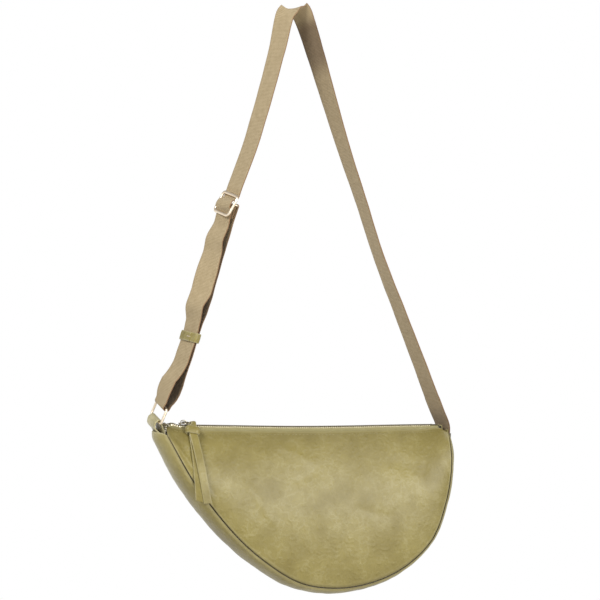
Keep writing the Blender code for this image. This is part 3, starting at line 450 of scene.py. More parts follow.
def seam_outward(share):
    run = seam_point(share + SLOPE_STEP_SHARE) - seam_point(share - SLOPE_STEP_SHARE)
    return in_plane(run.z, -run.x).normalized()


def half_depth(share):
    swell = 1.0 - abs(1.0 - 2.0 * clamp(share)) ** 4
    return END_HALF_DEPTH + (FULL_HALF_DEPTH - END_HALF_DEPTH) * swell


def ridge_z(x):
    """The zip's height, which sags a little between its ends."""
    along = clamp((x - PANEL_LEFT) / PANEL_WIDTH)
    return RIDGE_LEFT_Z - RIDGE_FALL * along - ZIP_SAG * sin(pi * along) ** 2


def top_point(share):
    along = (seam_point(share).x - PANEL_LEFT) / (seam_line[-1].x - PANEL_LEFT)
    mixed = (along + share) / 2.0
    x = PANEL_LEFT + PANEL_WIDTH * TOP_RIGHT_SHARE * mixed
    rise = LEFT_CORNER_RISE * max(0.0, 1.0 - mixed / LEFT_CORNER_SHARE) ** 2
    part = clamp((mixed - 1.0 + RIGHT_CORNER_SHARE) / RIGHT_CORNER_SHARE)
    rise += RIGHT_CORNER_RISE * smooth_step(part)
    return in_plane(x, ridge_z(x) - EDGE_DROP + rise)


def bare_panel(share, down):
    """The front panel's smooth face, before its relief: down runs from the top edge to the seam."""
    at = top_point(share).lerp(seam_point(share), down)
    swell = PANEL_BULGE * (1.0 - abs(1.0 - 2.0 * clamp(share)) ** 3)
    depth = TOP_HALF_GAP + (half_depth(share) - TOP_HALF_GAP) * down
    at.y = -(depth + swell * 4.0 * down * (1.0 - down))
    return at


def panel_normal(share, down):
    low, high = clamp(share - SLOPE_STEP_SHARE), clamp(share + SLOPE_STEP_SHARE)
    up, deep = clamp(down - SLOPE_STEP_SHARE), clamp(down + SLOPE_STEP_SHARE)
    run = bare_panel(high, down) - bare_panel(low, down)
    fall = bare_panel(share, deep) - bare_panel(share, up)
    outward = run.cross(fall).normalized()
    return -outward if outward.y > 0 else outward


def lip(distance):
    """How far a turned-in edge drops, from its radius at the seam to nothing a radius away."""
    if distance >= LIP:
        return 0.0
    return LIP - sqrt(max(LIP ** 2 - (LIP - distance) ** 2, 0.0))


def crease_height(share, down, length):
    """The creases' relief; distances are measured on the panel laid flat."""
    total = 0.0
    here = Vector((share * PANEL_WIDTH, down * length))
    for (s1, d1), (s2, d2), width, height in CREASES:
        start = Vector((s1 * PANEL_WIDTH, d1 * length))
        end = Vector((s2 * PANEL_WIDTH, d2 * length))
        run = end - start
        part = (here - start).dot(run) / run.length_squared
        total += height * bell((here - start - run * clamp(part)).length, width)
    return total


def panel_relief(share, down, length, at, seed):
    from_seam, from_top = (1.0 - down) * length, down * length
    easing = 1.0 - exp(-min(from_seam, from_top) / RELIEF_EASE)
    broad = noise.noise(Vector((at.x / BROAD_WAVE, at.z / BROAD_WAVE, seed)))
    small = noise.noise(Vector((at.x / SMALL_WAVE, at.z / SMALL_WAVE, seed + 5.0)))
    along = share * seam_length / PUCKER_WAVE
    pucker = noise.noise(Vector((along, from_seam / (4.0 * PUCKER_WAVE), seed)))
    height = BROAD_RELIEF * broad + SMALL_RELIEF * small + crease_height(share, down, length)
    return easing * height + PUCKER_RELIEF * pucker * exp(-from_seam / PUCKER_REACH)


def set_point_values(obj, name, values):
    attribute = obj.data.attributes.new(name, "FLOAT", "POINT")
    attribute.data.foreach_set("value", np.array(values, dtype=np.float32))


def mesh_object(name, points, faces, *materials, outward=False, smooth=True, sharp=None):
    """An object from points and faces; edges that turn by more than sharp degrees stay crisp."""
    mesh = bpy.data.meshes.new(name)
    mesh.from_pydata([tuple(p) for p in points], [], faces)
    mesh.update()
    if outward:
        work = bmesh.new()
        work.from_mesh(mesh)
        bmesh.ops.recalc_face_normals(work, faces=work.faces)
        work.to_mesh(mesh)
        work.free()
    if smooth:
        mesh.shade_smooth()
    if sharp:
        mesh.set_sharp_from_angle(angle=radians(sharp))
    for material in materials:
        mesh.materials.append(material)
    obj = bpy.data.objects.new(name, mesh)
    bpy.context.scene.collection.objects.link(obj)
    return obj


def sheet(name, rows, labels, material, thickness, flip=False):
    """A smooth grid, thickened behind its face. Each place is a point and its values."""
    columns = len(rows[0])
    faces = []
    for r in range(len(rows) - 1):
        for a in range(r * columns, (r + 1) * columns - 1):
            quad = (a, a + 1, a + 1 + columns, a + columns)
            faces.append(quad[::-1] if flip else quad)
    points, *values = zip(*(place for row in rows for place in row))
    obj = mesh_object(name, points, faces, material)
    for label, numbers in zip(labels, values):
        set_point_values(obj, label, numbers)
    solid = obj.modifiers.new("thickness", "SOLIDIFY")
    solid.thickness = thickness
    solid.offset = -1.0
    solid.use_even_offset = True
    solid.use_rim = True
    return obj


def finish_piece(obj, body, slot_name, *nodes):
    """Rides a body and stands for the CAD nodes that it replaces; slot_name is not used."""
    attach(obj, body)
    if nodes:
        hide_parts(*nodes)
    return obj


def seam_rub(distance, strength):
    """Paler wear on the shoulder beside the seam."""
    return strength * bell(distance - RUB_REACH, RUB_REACH / 1.6)


def face_downs(length):
    """Places down the face, closely spaced where it turns in at the seam."""
    even = [k / PANEL_ROWS * (1.0 - LIP / length) for k in range(PANEL_ROWS)]
    return even + [1.0 - min(LIP * step / length, 1.0 / PANEL_ROWS) for step in ROLL_SHARES[1:]]


def panel_column(share, seed):
    """Point, wear and shade from the hem inside the top fold, over the face, to the seam's hem."""
    length = (seam_point(share) - top_point(share)).length
    top, out = bare_panel(share, 0.0), panel_normal(share, 0.0)
    up = (top - bare_panel(share, FOLD_SLOPE_STEP)).normalized()
    fold = []
    for k in range(FOLD_STEPS):
        angle = pi * (1.0 - k / FOLD_STEPS)
        fold.append(top - out * (LIP - LIP * cos(angle)) + up * (LIP * sin(angle)))
    # The hem inside the top fold carries a little painted shade
    column = [(p, HEM_RUB, HEM_SHADE) for p in [fold[0] - up * FOLD_IN] + fold]
    for down in face_downs(length):
        at, out = bare_panel(share, down), panel_normal(share, down)
        from_top, from_seam = down * length, (1.0 - down) * length
        height = panel_relief(share, down, length, at, seed)
        rub = seam_rub(from_seam, SEAM_RUB) + FOLD_RUB * bell(from_top, FOLD_RUB_REACH)
        # Painted shade: a darker band under the top fold, and a dark line in the seam's groove
        shade = FOLD_SHADE * bell(from_top, FOLD_SHADE_REACH) + bell(from_seam, SEAM_SHADE_REACH)
        wear_and_sheen = clamp(rub * 0.8 + CREST_RUB * max(0.0, height - CREST))
        column.append((at + out * (height - lip(from_seam)), wear_and_sheen, clamp(shade)))
    # The hem turned in at the seam is painted in full shade
    column.append((column[-1][0] - panel_normal(share, 1.0) * TURN_IN, 0.0, 1.0))
    return column


def add_panel(side, label, seed):
    columns = [
        [(mirrored(p, side), *values) for p, *values in panel_column(k / PANEL_COLUMNS, seed)]
        for k in range(PANEL_COLUMNS + 1)
    ]
    shell = sheet(label + "_panel_leather", columns, ("wear_and_sheen", "shade"), leather_material, LEATHER, side > 0)
    finish_piece(shell, "bag", "olive_leather", label + "_panel")


def thread_material():
    """Waxed sewing thread, its two strands showing as fine bands."""
    material, tree, shader = new_material("sewing_thread")
    strands = noise_texture(tree, millimetres(tree, (1.0, 1.0, 2.0)), THREAD_TWIST_MM, 1.0)
    set_inputs(tree, shader, {
        "Base Color": mix_colours(tree, remap(tree, strands, 0.4, 0.6), STITCH_DARK, STITCH_COLOUR),
        "Roughness": remap(tree, strands, 0.3, 0.7, 0.6, 0.45),
    })
    return material


def ring_faces(first, rings, sides, closed=False):
    """Faces round a run of rings of points, with one face over each open end."""
    faces = []
    for k in range(rings if closed else rings - 1):
        a, b = first + k * sides, first + (k + 1) % rings * sides
        for turn in range(sides):
            m = (turn + 1) % sides
            faces.append((a + turn, a + m, b + m, b + turn))
    if not closed:
        last = first + (rings - 1) * sides
        faces += [tuple(range(first, first + sides))[::-1], tuple(range(last, last + sides))]
    return faces


def circle(centre, side, other, radius, corners):
    turns = [2.0 * pi * k / corners for k in range(corners)]
    return [centre + (side * cos(a) + other * sin(a)) * radius for a in turns]


def stitch_row(name, points, outs):
    """Sewn stitches along a line: each is a thread that rises from one hole and sinks in the next."""
    corners, faces = [], []
    for start, end, out in zip(points, points[1:], outs):
        run = (end - start) * (STITCH / (STITCH + STITCH_GAP))
        side = run.cross(out).normalized()
        faces += ring_faces(len(corners), STITCH_RINGS + 1, THREAD_SIDES)
        for k in range(STITCH_RINGS + 1):
            arch = sin(pi * k / STITCH_RINGS) ** 0.6
            centre = start + run * (k / STITCH_RINGS) + out * (THREAD * (1.5 * arch - 1.0))
            corners += circle(centre, side, out, THREAD * (0.4 + 0.6 * arch), THREAD_SIDES)
    return mesh_object(name, corners, faces, thread)


def add_top_stitching(side, label, seed):
    """The row that holds each panel's folded top edge down on the zip tape."""
    count = int(PANEL_WIDTH * (1.0 - 2.0 * STITCH_END_SHARE) / (STITCH + STITCH_GAP))
    points, outs = [], []
    for k in range(count + 1):
        share = STITCH_END_SHARE + (1.0 - 2.0 * STITCH_END_SHARE) * k / count
        length = (seam_point(share) - top_point(share)).length
        down = STITCH_DROP / length
        at, out = bare_panel(share, down), panel_normal(share, down)
        at += out * panel_relief(share, down, length, at, seed)
        points.append(mirrored(at, side))
        outs.append(mirrored(out, side))
    finish_piece(stitch_row(label + "_panel_stitching", points, outs), "bag", "olive_leather")


leather_material = leather("olive_leather_soft", LEATHER_MID, LEATHER_LIGHT)
thread = thread_material()
for side, label, seed in ((-1, "front", 3.0), (1, "back", 11.0)):
    add_panel(side, label, seed)
    add_top_stitching(side, label, seed)


# Gusset: the leather strip that joins the panels round the bottom, fullest at the pointed end.
# Its turned-in edges meet the panels in a narrow groove darkened with painted shade, its left end has a
# paler painted sheen, and the soft strip wrinkles across.
GUSSET_LEFT_BULGE = 0.0145
GUSSET_RIGHT_BULGE = 0.0078
GUSSET_BOTTOM_BULGE = 0.0098
GUSSET_COLUMNS = 260
GUSSET_FACE_STEPS = 14
GUSSET_COLLAR = 0.0115
GUSSET_COLLAR_DRAW = 0.0040
GUSSET_END_TAPER = 0.80
GUSSET_TAPER_SHARE = 0.045
# Bulge at which the groove's painted shade is full; narrower parts get less
FULL_BULGE = 0.006
# Painted sheen: the gusset's left end is paler, most across its middle
GUSSET_PAINTED_SHEEN = 0.45
GUSSET_SHEEN_SHARE = 0.2
GUSSET_COLLAR_ROWS = 6
FOLD_WAVE = 0.034
FOLD_SPAN = 0.05
FOLD_RELIEF = 0.0009
WRINKLE_WAVE = 0.0105
WRINKLE_SPAN = 0.03
WRINKLE_RELIEF = 0.0004
GUSSET_EASE = 0.003
GUSSET_RUB = 0.4
GUSSET_CREST = 0.0007
GUSSET_CREST_RUB = 140.0
COLLAR_RUB = 0.5


def gusset_bulge(share):
    side_bulge = GUSSET_LEFT_BULGE if share < 0.5 else GUSSET_RIGHT_BULGE
    bulge = GUSSET_BOTTOM_BULGE + (side_bulge - GUSSET_BOTTOM_BULGE) * cos(pi * share) ** 2
    taper = clamp((share - 1.0 + GUSSET_TAPER_SHARE) / GUSSET_TAPER_SHARE) ** 2
    return bulge * (1.0 - GUSSET_END_TAPER * taper)


def gusset_angles(bulge):
    """Turns from the front seam to the back one, closely spaced at the rolled edges."""
    front = [asin(LIP * step / bulge) for step in ROLL_SHARES[::-1]]
    rest = pi / 2.0 - front[-1]
    front += [front[-1] + rest * k / GUSSET_FACE_STEPS for k in range(1, GUSSET_FACE_STEPS + 1)]
    return front + [pi - a for a in front[-2::-1]]


def gusset_column(share, collar=0.0):
    """Places across the strip; the collar carries its pointed end up towards the ring tab."""
    bulge, half = gusset_bulge(share), half_depth(share)
    seam, out = seam_point(share), seam_outward(share)
    back_along = (seam_point(0.0) - seam_point(SLOPE_STEP_SHARE)).normalized()
    along = share * seam_length
    sheen_share = max(0.0, 1.0 - share / GUSSET_SHEEN_SHARE)
    column = []
    for angle in gusset_angles(bulge):
        reach = bulge * sin(angle)
        y = -half * cos(angle) + (lip(reach) if angle < pi / 2.0 else -lip(reach))
        normal = (out * (sin(angle) / bulge) - Y_WAY * (cos(angle) / half)).normalized()
        folds = noise.noise(Vector((along / FOLD_WAVE, y / FOLD_SPAN, 21.0)))
        wrinkles = noise.noise(Vector((along / WRINKLE_WAVE, y / WRINKLE_SPAN, 33.0)))
        easing = 1.0 - exp(-reach / GUSSET_EASE)
        height = FOLD_RELIEF * folds * easing + WRINKLE_RELIEF * wrinkles * (0.3 + 0.7 * easing)
        full = sin(angle) ** 0.7
        at = Vector((seam.x, y, seam.z)) + out * (reach + GROOVE) + normal * height
        at += (back_along * (GUSSET_COLLAR * collar) - out * (GUSSET_COLLAR_DRAW * collar ** 2)) * full
        wear_and_sheen = seam_rub(reach, GUSSET_RUB) + GUSSET_CREST_RUB * max(0.0, height - GUSSET_CREST)
        # Rubbed wear, plus painted sheen towards the left end
        wear_and_sheen += COLLAR_RUB * collar ** 6 + GUSSET_PAINTED_SHEEN * full * sheen_share
        # Painted shade in the seam's groove, weaker where the strip is narrow
        column.append((at, clamp(wear_and_sheen), bell(reach, SEAM_SHADE_REACH) * clamp(bulge / FULL_BULGE) ** 2))
    # The turned-in edges are painted in full shade
    deep = Y_WAY * TURN_IN
    return [(column[0][0] + deep, 0.0, 1.0)] + column + [(column[-1][0] - deep, 0.0, 1.0)]


def add_gusset():
    columns = [gusset_column(0.0, 1.0 - k / GUSSET_COLLAR_ROWS) for k in range(GUSSET_COLLAR_ROWS)]
    columns += [gusset_column(k / GUSSET_COLUMNS) for k in range(GUSSET_COLUMNS + 1)]
    strip = sheet("gusset_leather", columns, ("wear_and_sheen", "shade"), leather_material, LEATHER)
    finish_piece(strip, "bag", "olive_leather", "gusset")


add_gusset()


# Zip tapes: woven polyester, folded down from the teeth to under each panel's top edge and stitched
# there. The left ends part behind the slider, ride up over the corner and turn down at the tab.
ZIP_START = 0.0225
ZIP_STOP_LEFT = 0.0042
CHAIN_END_SHARE = 0.955
TOOTH_PITCH = 0.0026
CHAIN_HALF_WIDTH = 0.0030
CHAIN_HEIGHT = 0.0022
ZIP_HUMP = 0.0022
ZIP_HUMP_LENGTH = 0.016
ZIP_FLARE = 0.0012
ZIP_FLARE_LENGTH = 0.006
TAPE = 0.0006
TAPE_UNDER = 0.0026
TAPE_FLANGE = 0.010
TAPE_COLUMNS = 130
TAPE_PAST_STOP = 0.003
TAPE_SHORT = 0.001
CLOSING_STEPS = 30
# Places between teeth and panel edge, as a share of the way, and their rise over a straight line
TAPE_RISES = ((0.0, 0.0), (0.3, 0.0004), (0.6, 0.0007))
CORD = 0.00075
TAPE_MID = "A79E70"
TAPE_LIGHT = "C2BA8C"
TAPE_DARK = "7C7348"
# Painted shade: the cord is dark to paint the shade in the gaps between the teeth
CORD_PAINTED_SHADE = "4A4226"
# Painted shade: the dark colour that a woven strip's shade values mix in
WEAVE_PAINTED_SHADE = "44281A"
FIBRE_MM = 0.35
SELVEDGE_MM = 1.1

chain_left = PANEL_LEFT + ZIP_START
chain_right = PANEL_LEFT + PANEL_WIDTH * CHAIN_END_SHARE
stop_left = PANEL_LEFT + ZIP_STOP_LEFT


def chain_z(x):
    """The chain's height: the sagging ridge, with a hump over the left corner."""
    part = clamp((x - PANEL_LEFT) / ZIP_HUMP_LENGTH)
    return ridge_z(x) + ZIP_HUMP * sin(pi * part) ** 2


def flare(x):
    part = clamp((chain_left - x) / ZIP_FLARE_LENGTH)
    return ZIP_FLARE * smooth_step(part)


def share_at_x(x):
    low, high = 0.0, 1.0
    for _ in range(CLOSING_STEPS):
        middle = (low + high) / 2.0
        if top_point(middle).x < x:
            low = middle
        else:
            high = middle
    return (low + high) / 2.0


def wave(tree, place, size_mm, distortion, direction):
    """Bands of that size; the texture's own are pi / 10 apart at a scale of 1."""
    inputs = {"Vector": place, "Scale": pi / 10.0 / size_mm, "Distortion": distortion, "Detail": 1.0}
    return add_node(tree, "ShaderNodeTexWave", inputs, bands_direction=direction).outputs["Fac"]


def woven(name, mid, light, dark, edge, rib_mm, warp_mm, relief, half_width_mm):
    """Weave laid out along a strip: ribs across it, warp threads along it, and its own edge colour."""
    material, tree, shader = new_material(name)
    across = point_value(tree, "across")
    along = {"X": point_value(tree, "along"), "Y": across}
    place = add_node(tree, "ShaderNodeCombineXYZ", along).outputs["Vector"]
    ribs, warp = wave(tree, place, rib_mm, 0.4, "X"), wave(tree, place, warp_mm, 0.3, "Y")
    weave = maths(tree, "MULTIPLY", ribs, warp)
    soft = noise_texture(tree, place, 7.0, 4.0, 0.6)
    fibres = noise_texture(tree, place, FIBRE_MM, 3.0, 0.7)
    colour = mix_colours(tree, remap(tree, weave, 0.0, 0.7), dark, light)
    colour = mix_colours(tree, 0.5, colour, mid)
    colour = mix_colours(tree, remap(tree, soft, 0.35, 0.7, 0.0, 0.3), colour, light)
    colour = mix_colours(tree, remap(tree, fibres, 0.3, 0.7, 0.0, 0.25), colour, dark)
    from_middle = maths(tree, "ABSOLUTE", across)
    edging = remap(tree, from_middle, half_width_mm - SELVEDGE_MM, half_width_mm, 0.0, 0.85)
    colour = mix_colours(tree, edging, colour, edge)
    set_inputs(tree, shader, {
        # Painted shade wherever the points' shade values call for it
        "Base Color": mix_colours(tree, point_value(tree, "shade"), colour, WEAVE_PAINTED_SHADE),
        "Normal": bump(tree, fibres, relief / 3.0, 0.5, bump(tree, weave, relief, 0.8)),
        "Roughness": 0.85, "Sheen Weight": 0.2, "Sheen Roughness": 0.5, "Specular IOR Level": 0.3,
    })
    return material


def ways(points, closed=False):
    """The line's direction at each of its points."""
    count = len(points)
    found = []
    for i in range(count):
        before = points[i - 1] if closed or i else points[0]
        after = points[(i + 1) % count] if closed or i + 1 < count else points[-1]
        found.append((after - before).normalized())
    return found


def tube(name, points, radius, material, sides=8, closed=False):
    """A round cord or wire along points."""
    places, side = [], None
    for p, way in zip(points, ways(points, closed)):
        last_side, side = side, way.cross(UP)
        side = (side if side.length > 0.1 else way.cross(Y_WAY)).normalized()
        if last_side is not None and side.dot(last_side) < 0.0:
            side.negate()
        places += circle(p, side, way.cross(side), radius, sides)
    return mesh_object(name, places, ring_faces(0, len(points), sides, closed), material, outward=True)


tape_material = woven("zip_tape_weave", TAPE_MID, TAPE_LIGHT, TAPE_DARK, TAPE_DARK, 0.7, 0.5, 0.00012, 14.0)
# The cord's dark weave paints the shade between the teeth
cord_material = woven("zip_cord_weave_painted_shade", CORD_PAINTED_SHADE, TAPE_DARK, CORD_PAINTED_SHADE, CORD_PAINTED_SHADE, 0.9, 0.4, 0.00010, 14.0)


def add_tape(side, label):
    columns = []
    left, right = stop_left - TAPE_PAST_STOP, top_point(1.0).x - TAPE_SHORT
    for k in range(TAPE_COLUMNS + 1):
        x = left + (right - left) * k / TAPE_COLUMNS
        s = share_at_x(x)
        length = max((seam_point(s) - top_point(s)).length, TAPE_SHORT)
        inner = Vector((x, -(CHAIN_HALF_WIDTH + flare(x)), chain_z(x)))
        rim = bare_panel(s, 0.0) - panel_normal(s, 0.0) * TAPE_UNDER
        places = [inner.lerp(rim, part) + UP * rise for part, rise in TAPE_RISES]
        for part in (0.0, 0.3, 0.65, 1.0):
            share = min(TAPE_FLANGE / length, 0.45) * part
            places.append(bare_panel(s, share) - panel_normal(s, share) * TAPE_UNDER)
        columns.append([(mirrored(p, side), MM * x, MM * r) for p, r in zip(places, reaches(places))])
    name = "zip_tape_" + label
    tape = sheet(name + "_weave", columns, ("along", "across"), tape_material, TAPE, side > 0)
    finish_piece(tape, "bag", "olive_tape", name)
    cord = tube("zip_cord_" + label, [column[0][0] for column in columns], CORD, cord_material)
    for value, axis in (("along", 0), ("across", 2)):
        set_point_values(cord, value, [MM * v.co[axis] for v in cord.data.vertices])
    finish_piece(cord, "bag", "olive_tape")


add_tape(-1, "front")
add_tape(1, "back")


# Zip teeth: two rows of nickel-plated teeth cast on the tapes' cords. They mesh to the right of
# the slider, and the few to its left stand apart.
TOOTH_WIDTH = 0.00155
TOOTH_REACH = 0.0015
TOOTH_BEVEL = 0.00016
TOOTH_SHOULDER = 0.0009
TOOTH_JAW = 0.0015
TOOTH_START = 0.0022
SLOPE_STEP = 0.001
TOOTH_SHARP = 35
# Half the tooth's outline from its foot to its head, as shares of its width and of its reach
TOOTH_SHARES = ((0.5, -1.0), (0.5, -0.35), (0.36, -0.1), (0.36, 0.15), (0.5, 0.45), (0.32, 1.0))
SCRATCH_SPREAD = 0.06
SCRATCH_DEPTH = 0.00001
NICKEL = "B4AC98"
NICKEL_DARK = "5A5242"
# Lit and shaded copies of the nickel for the teeth: the front row's is paler, painted light, and the back
# row's dark, painted shade
BACK_TEETH_PAINTED_SHADE = "6A604A"
FRONT_TEETH_PAINTED_LIGHT = "A59C82"


def metal(name, colour, dark, roughness):
    """Plated metal: faint cloudiness, and fine scratches in its gloss."""
    material, tree, shader = new_material(name)
    cloud = noise_texture(tree, millimetres(tree), 6.0, 3.0, 0.6)
    fine = noise_texture(tree, millimetres(tree, (1.0, 1.0, 8.0)), 0.5, 3.0, 0.7)
    set_inputs(tree, shader, {
        "Base Color": mix_colours(tree, remap(tree, cloud, 0.35, 0.7, 0.0, 0.35), colour, dark),
        "Roughness": remap(tree, fine, 0.3, 0.7, roughness - SCRATCH_SPREAD, roughness + SCRATCH_SPREAD),
        "Normal": bump(tree, fine, SCRATCH_DEPTH, 0.4), "Metallic": 1.0,
    })
    return material


nickel = metal("nickel_plating", NICKEL, NICKEL_DARK, 0.28)
back_teeth_painted_shade = metal("nickel_back_teeth_painted_shade", BACK_TEETH_PAINTED_SHADE, NICKEL_DARK, 0.3)
front_teeth_painted_light = metal("nickel_front_teeth_painted_light", FRONT_TEETH_PAINTED_LIGHT, NICKEL_DARK, 0.38)


def prism(work, outline, low, high):
    """Adds a closed prism with that outline in plan to a bmesh; bevelled() faces it outward."""
    bottom = [work.verts.new((x, y, low)) for x, y in outline]
    top = [work.verts.new((x, y, high)) for x, y in outline]
    work.faces.new(bottom)
    work.faces.new(top)
    for k in range(len(outline)):
        work.faces.new((bottom[k - 1], bottom[k], top[k], top[k - 1]))


def bevelled(work, width, segments, angle=0.0):
    """A bmesh's points and faces, with the edges rounded that turn by more than an angle."""
    bmesh.ops.recalc_face_normals(work, faces=work.faces)
    edges = [e for e in work.edges if e.calc_face_angle(0.0) >= angle]
    bmesh.ops.bevel(work, geom=edges, offset=width, segments=segments, affect="EDGES")
    work.verts.index_update()
    points = [v.co.copy() for v in work.verts]
    faces = [[v.index for v in f.verts] for f in work.faces]
    work.free()
    return points, faces


def tooth_parts():
    """One tooth's points and faces: a neck on the cord with a rounded head over the middle line."""
    left = [(-x, y) for x, y in TOOTH_SHARES]
    outline = [
        (x * TOOTH_WIDTH, y * (TOOTH_REACH if y > 0 else CHAIN_HALF_WIDTH + CORD))
        for x, y in (left[0], *TOOTH_SHARES, *left[:0:-1])
    ]
    work = bmesh.new()
    prism(work, outline, -CHAIN_HEIGHT / 2.0, CHAIN_HEIGHT / 2.0)
    for v in work.verts:
        if v.co.y < -CHAIN_HALF_WIDTH:
            v.co.z -= TOOTH_SHOULDER if v.co.z > 0.0 else TOOTH_JAW
    return bevelled(work, TOOTH_BEVEL, 1)


def teeth_row(name, teeth, tooth_faces, *materials, **shading):
    """Cast teeth in one piece; each tooth is a list of its points."""
    size = len(teeth[0])
    faces = [[size * k + i for i in face] for k in range(len(teeth)) for face in tooth_faces]
    return mesh_object(name, sum(teeth, []), faces, *materials, **shading)


def add_teeth(side, label, shift):
    base, base_faces = tooth_parts()
    teeth, finishes = [], []
    for k in range(int((chain_right - stop_left) / TOOTH_PITCH) - 1):
        x = stop_left + TOOTH_START + shift + k * TOOTH_PITCH
        slope = (chain_z(x + SLOPE_STEP) - chain_z(x - SLOPE_STEP)) / (2.0 * SLOPE_STEP)
        teeth.append([
            (x + p.x - slope * p.z, -side * (p.y - flare(x)), chain_z(x) + p.z + slope * p.x) for p in base
        ])
        # Teeth left of the slider keep the plain plating; the front row takes the paler painted-light copy
        # and the back row the dark painted-shade copy
        finishes += [2 if x < chain_left else int(side < 0)] * len(base_faces)
    name = "zip_teeth_" + label
    finish = (back_teeth_painted_shade, front_teeth_painted_light, nickel)
    facing = [face if side < 0 else face[::-1] for face in base_faces]
    row = teeth_row(name + "_metal", teeth, facing, *finish, sharp=TOOTH_SHARP)
    row.data.polygons.foreach_set("material_index", finishes)
    finish_piece(row, "bag", "zip_nickel", name)


add_teeth(-1, "front", 0.0)
add_teeth(1, "back", TOOTH_PITCH / 2.0)


# Zip slider: a cast body of two plates joined by a wedge, open at both sides for the tapes,
# with an arched bridge on top that the puller ring hangs from.
SLIDER_LENGTH = 0.0120
SLIDER_WIDTH = 0.0090
SLIDER_PLATE = 0.0011
PLATE_GAP = 0.0003
SLIDER_POST = 0.0022
BRIDGE_SPAN = 0.0066
BRIDGE_RISE = 0.0034
BRIDGE_WIDTH = 0.0018
BRIDGE_THICK = 0.0010
BRIDGE_STEPS = 16
SLIDER_SEAT = 0.0012
SLIDER_BEVEL = 0.00022
SLIDER_SHARP = 40
BEVEL_TURN = radians(30)
LOWER_PLATE_SHARE = 0.7
STRIP_SHARP = 60
EDGE_WEAR = 0.0006
# The plate's outline from its broad front to its narrow back, as shares of its length and half width
PLATE_SHARES = (
    (-0.50, 0.00), (-0.46, 0.55), (-0.32, 0.92), (-0.15, 1.00),
    (0.05, 0.90), (0.25, 0.66), (0.45, 0.60), (0.50, 0.52),
)

joints = {joint["name"]: joint for joint in frame["record"]["behaviour"]["joints"]}
slider_low, slider_high = (Vector(corner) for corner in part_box("zip_slider"))
slider_middle = (slider_low + slider_high) / 2.0
bridge_pivot = Vector(joints["puller_swing"]["pos_m"])
plate_level = CHAIN_HEIGHT / 2.0 + PLATE_GAP + SLIDER_PLATE / 2.0


def add_zip_slider():
    x0, z0 = slider_middle.x, slider_low.z + SLIDER_SEAT + plate_level
    half = [(x0 + a * SLIDER_LENGTH, b * SLIDER_WIDTH / 2.0) for a, b in PLATE_SHARES]
    outline = half + [(x, -y) for x, y in reversed(half) if y > 0.0]
    work = bmesh.new()
    for level, share in ((plate_level, 1.0), (-plate_level, LOWER_PLATE_SHARE)):
        low, plate = z0 + level - SLIDER_PLATE / 2.0, [(x, y * share) for x, y in outline]
        prism(work, plate, low, low + SLIDER_PLATE)
    post_x, reach = x0 - SLIDER_LENGTH / 3.0, SLIDER_POST / 2.0
    post = [(post_x + a * reach, b * reach) for a, b in ((-1, -1), (1, -1), (1, 1), (-1, 1))]
    prism(work, post, z0 - plate_level, z0 + plate_level)
    shape = bevelled(work, SLIDER_BEVEL, 2, BEVEL_TURN)
    body = mesh_object("zip_slider_body", *shape, nickel, sharp=SLIDER_SHARP)
    finish_piece(body, "zip_slider", "zip_nickel", "zip_slider")
    arch = []
    for k in range(BRIDGE_STEPS + 1):
        angle = pi * k / BRIDGE_STEPS
        x = bridge_pivot.x - BRIDGE_SPAN / 2.0 * cos(angle)
        arch.append(in_plane(x, z0 + plate_level + BRIDGE_RISE * sin(angle) ** 0.5))
    bridge = sweep("zip_slider_bridge", arch, [Y_WAY] * len(arch), (BRIDGE_WIDTH, BRIDGE_THICK), nickel)
    finish_piece(bridge, "zip_slider", "zip_nickel")


def section_points(width, thickness, flats=6, round_steps=4):
    """A flat strip's section with round edges, as (across, out)."""
    r = thickness / 2.0
    flat = width / 2.0 - r
    points = []
    for face in (1.0, -1.0):
        points += [(face * (2.0 * flat * k / flats - flat), face * r) for k in range(flats + 1)]
        for k in range(1, round_steps):
            angle = pi / 2.0 - pi * k / round_steps
            points.append((face * (flat + r * cos(angle)), face * r * sin(angle)))
    return points


def sweep(name, points, across, size, material, flats=6, closed=False, crown=0.0, edge=EDGE_WEAR, cut=0.0):
    """A strip of rounded section along points; the across vectors set its width's direction.

    crown domes its outer face; cut slants its last end. It carries its length, width and wear as values."""
    width = size[0]
    section = section_points(*size, flats)
    places, values = [], []
    for p, side, way, reach in zip(points, across, ways(points, closed), reaches(points)):
        out = way.cross(side).normalized()
        slant = way * cut if p is points[-1] else Vector()
        for u, v in section:
            lift = crown * (1.0 - (2.0 * u / width) ** 2) if v > 0 else 0.0
            places.append(p + side * u + out * (v + lift) + slant * (u / width))
            values.append((MM * reach, MM * u, bell(width / 2.0 - abs(u), edge)))
    faces = ring_faces(0, len(points), len(section), closed)
    strip = mesh_object(name, places, faces, material, outward=True, sharp=STRIP_SHARP)
    for label, numbers in zip(("along", "across", "wear_and_sheen"), zip(*values)):
        set_point_values(strip, label, numbers)
    return strip


def cover(material, *node_names):
    """Gives CAD solids that are kept as they are a material."""
    for name in node_names:
        materials = frame["nodes"][name].data.materials
        materials.clear()
        materials.append(material)


add_zip_slider()
cover(nickel, "zip_stop_front", "zip_stop_back", "zip_bottom_stop")


# Puller: a small wire ring through the slider's bridge. It lies nearly level, out to the front
# and the right, and the pull hangs from its far side.
PULLER_RADIUS = 0.0065
PULLER_WIRE = 0.0007
PULLER_LEAN = radians(10)
PULLER_TURN = radians(50)
PULLER_STEPS = 48

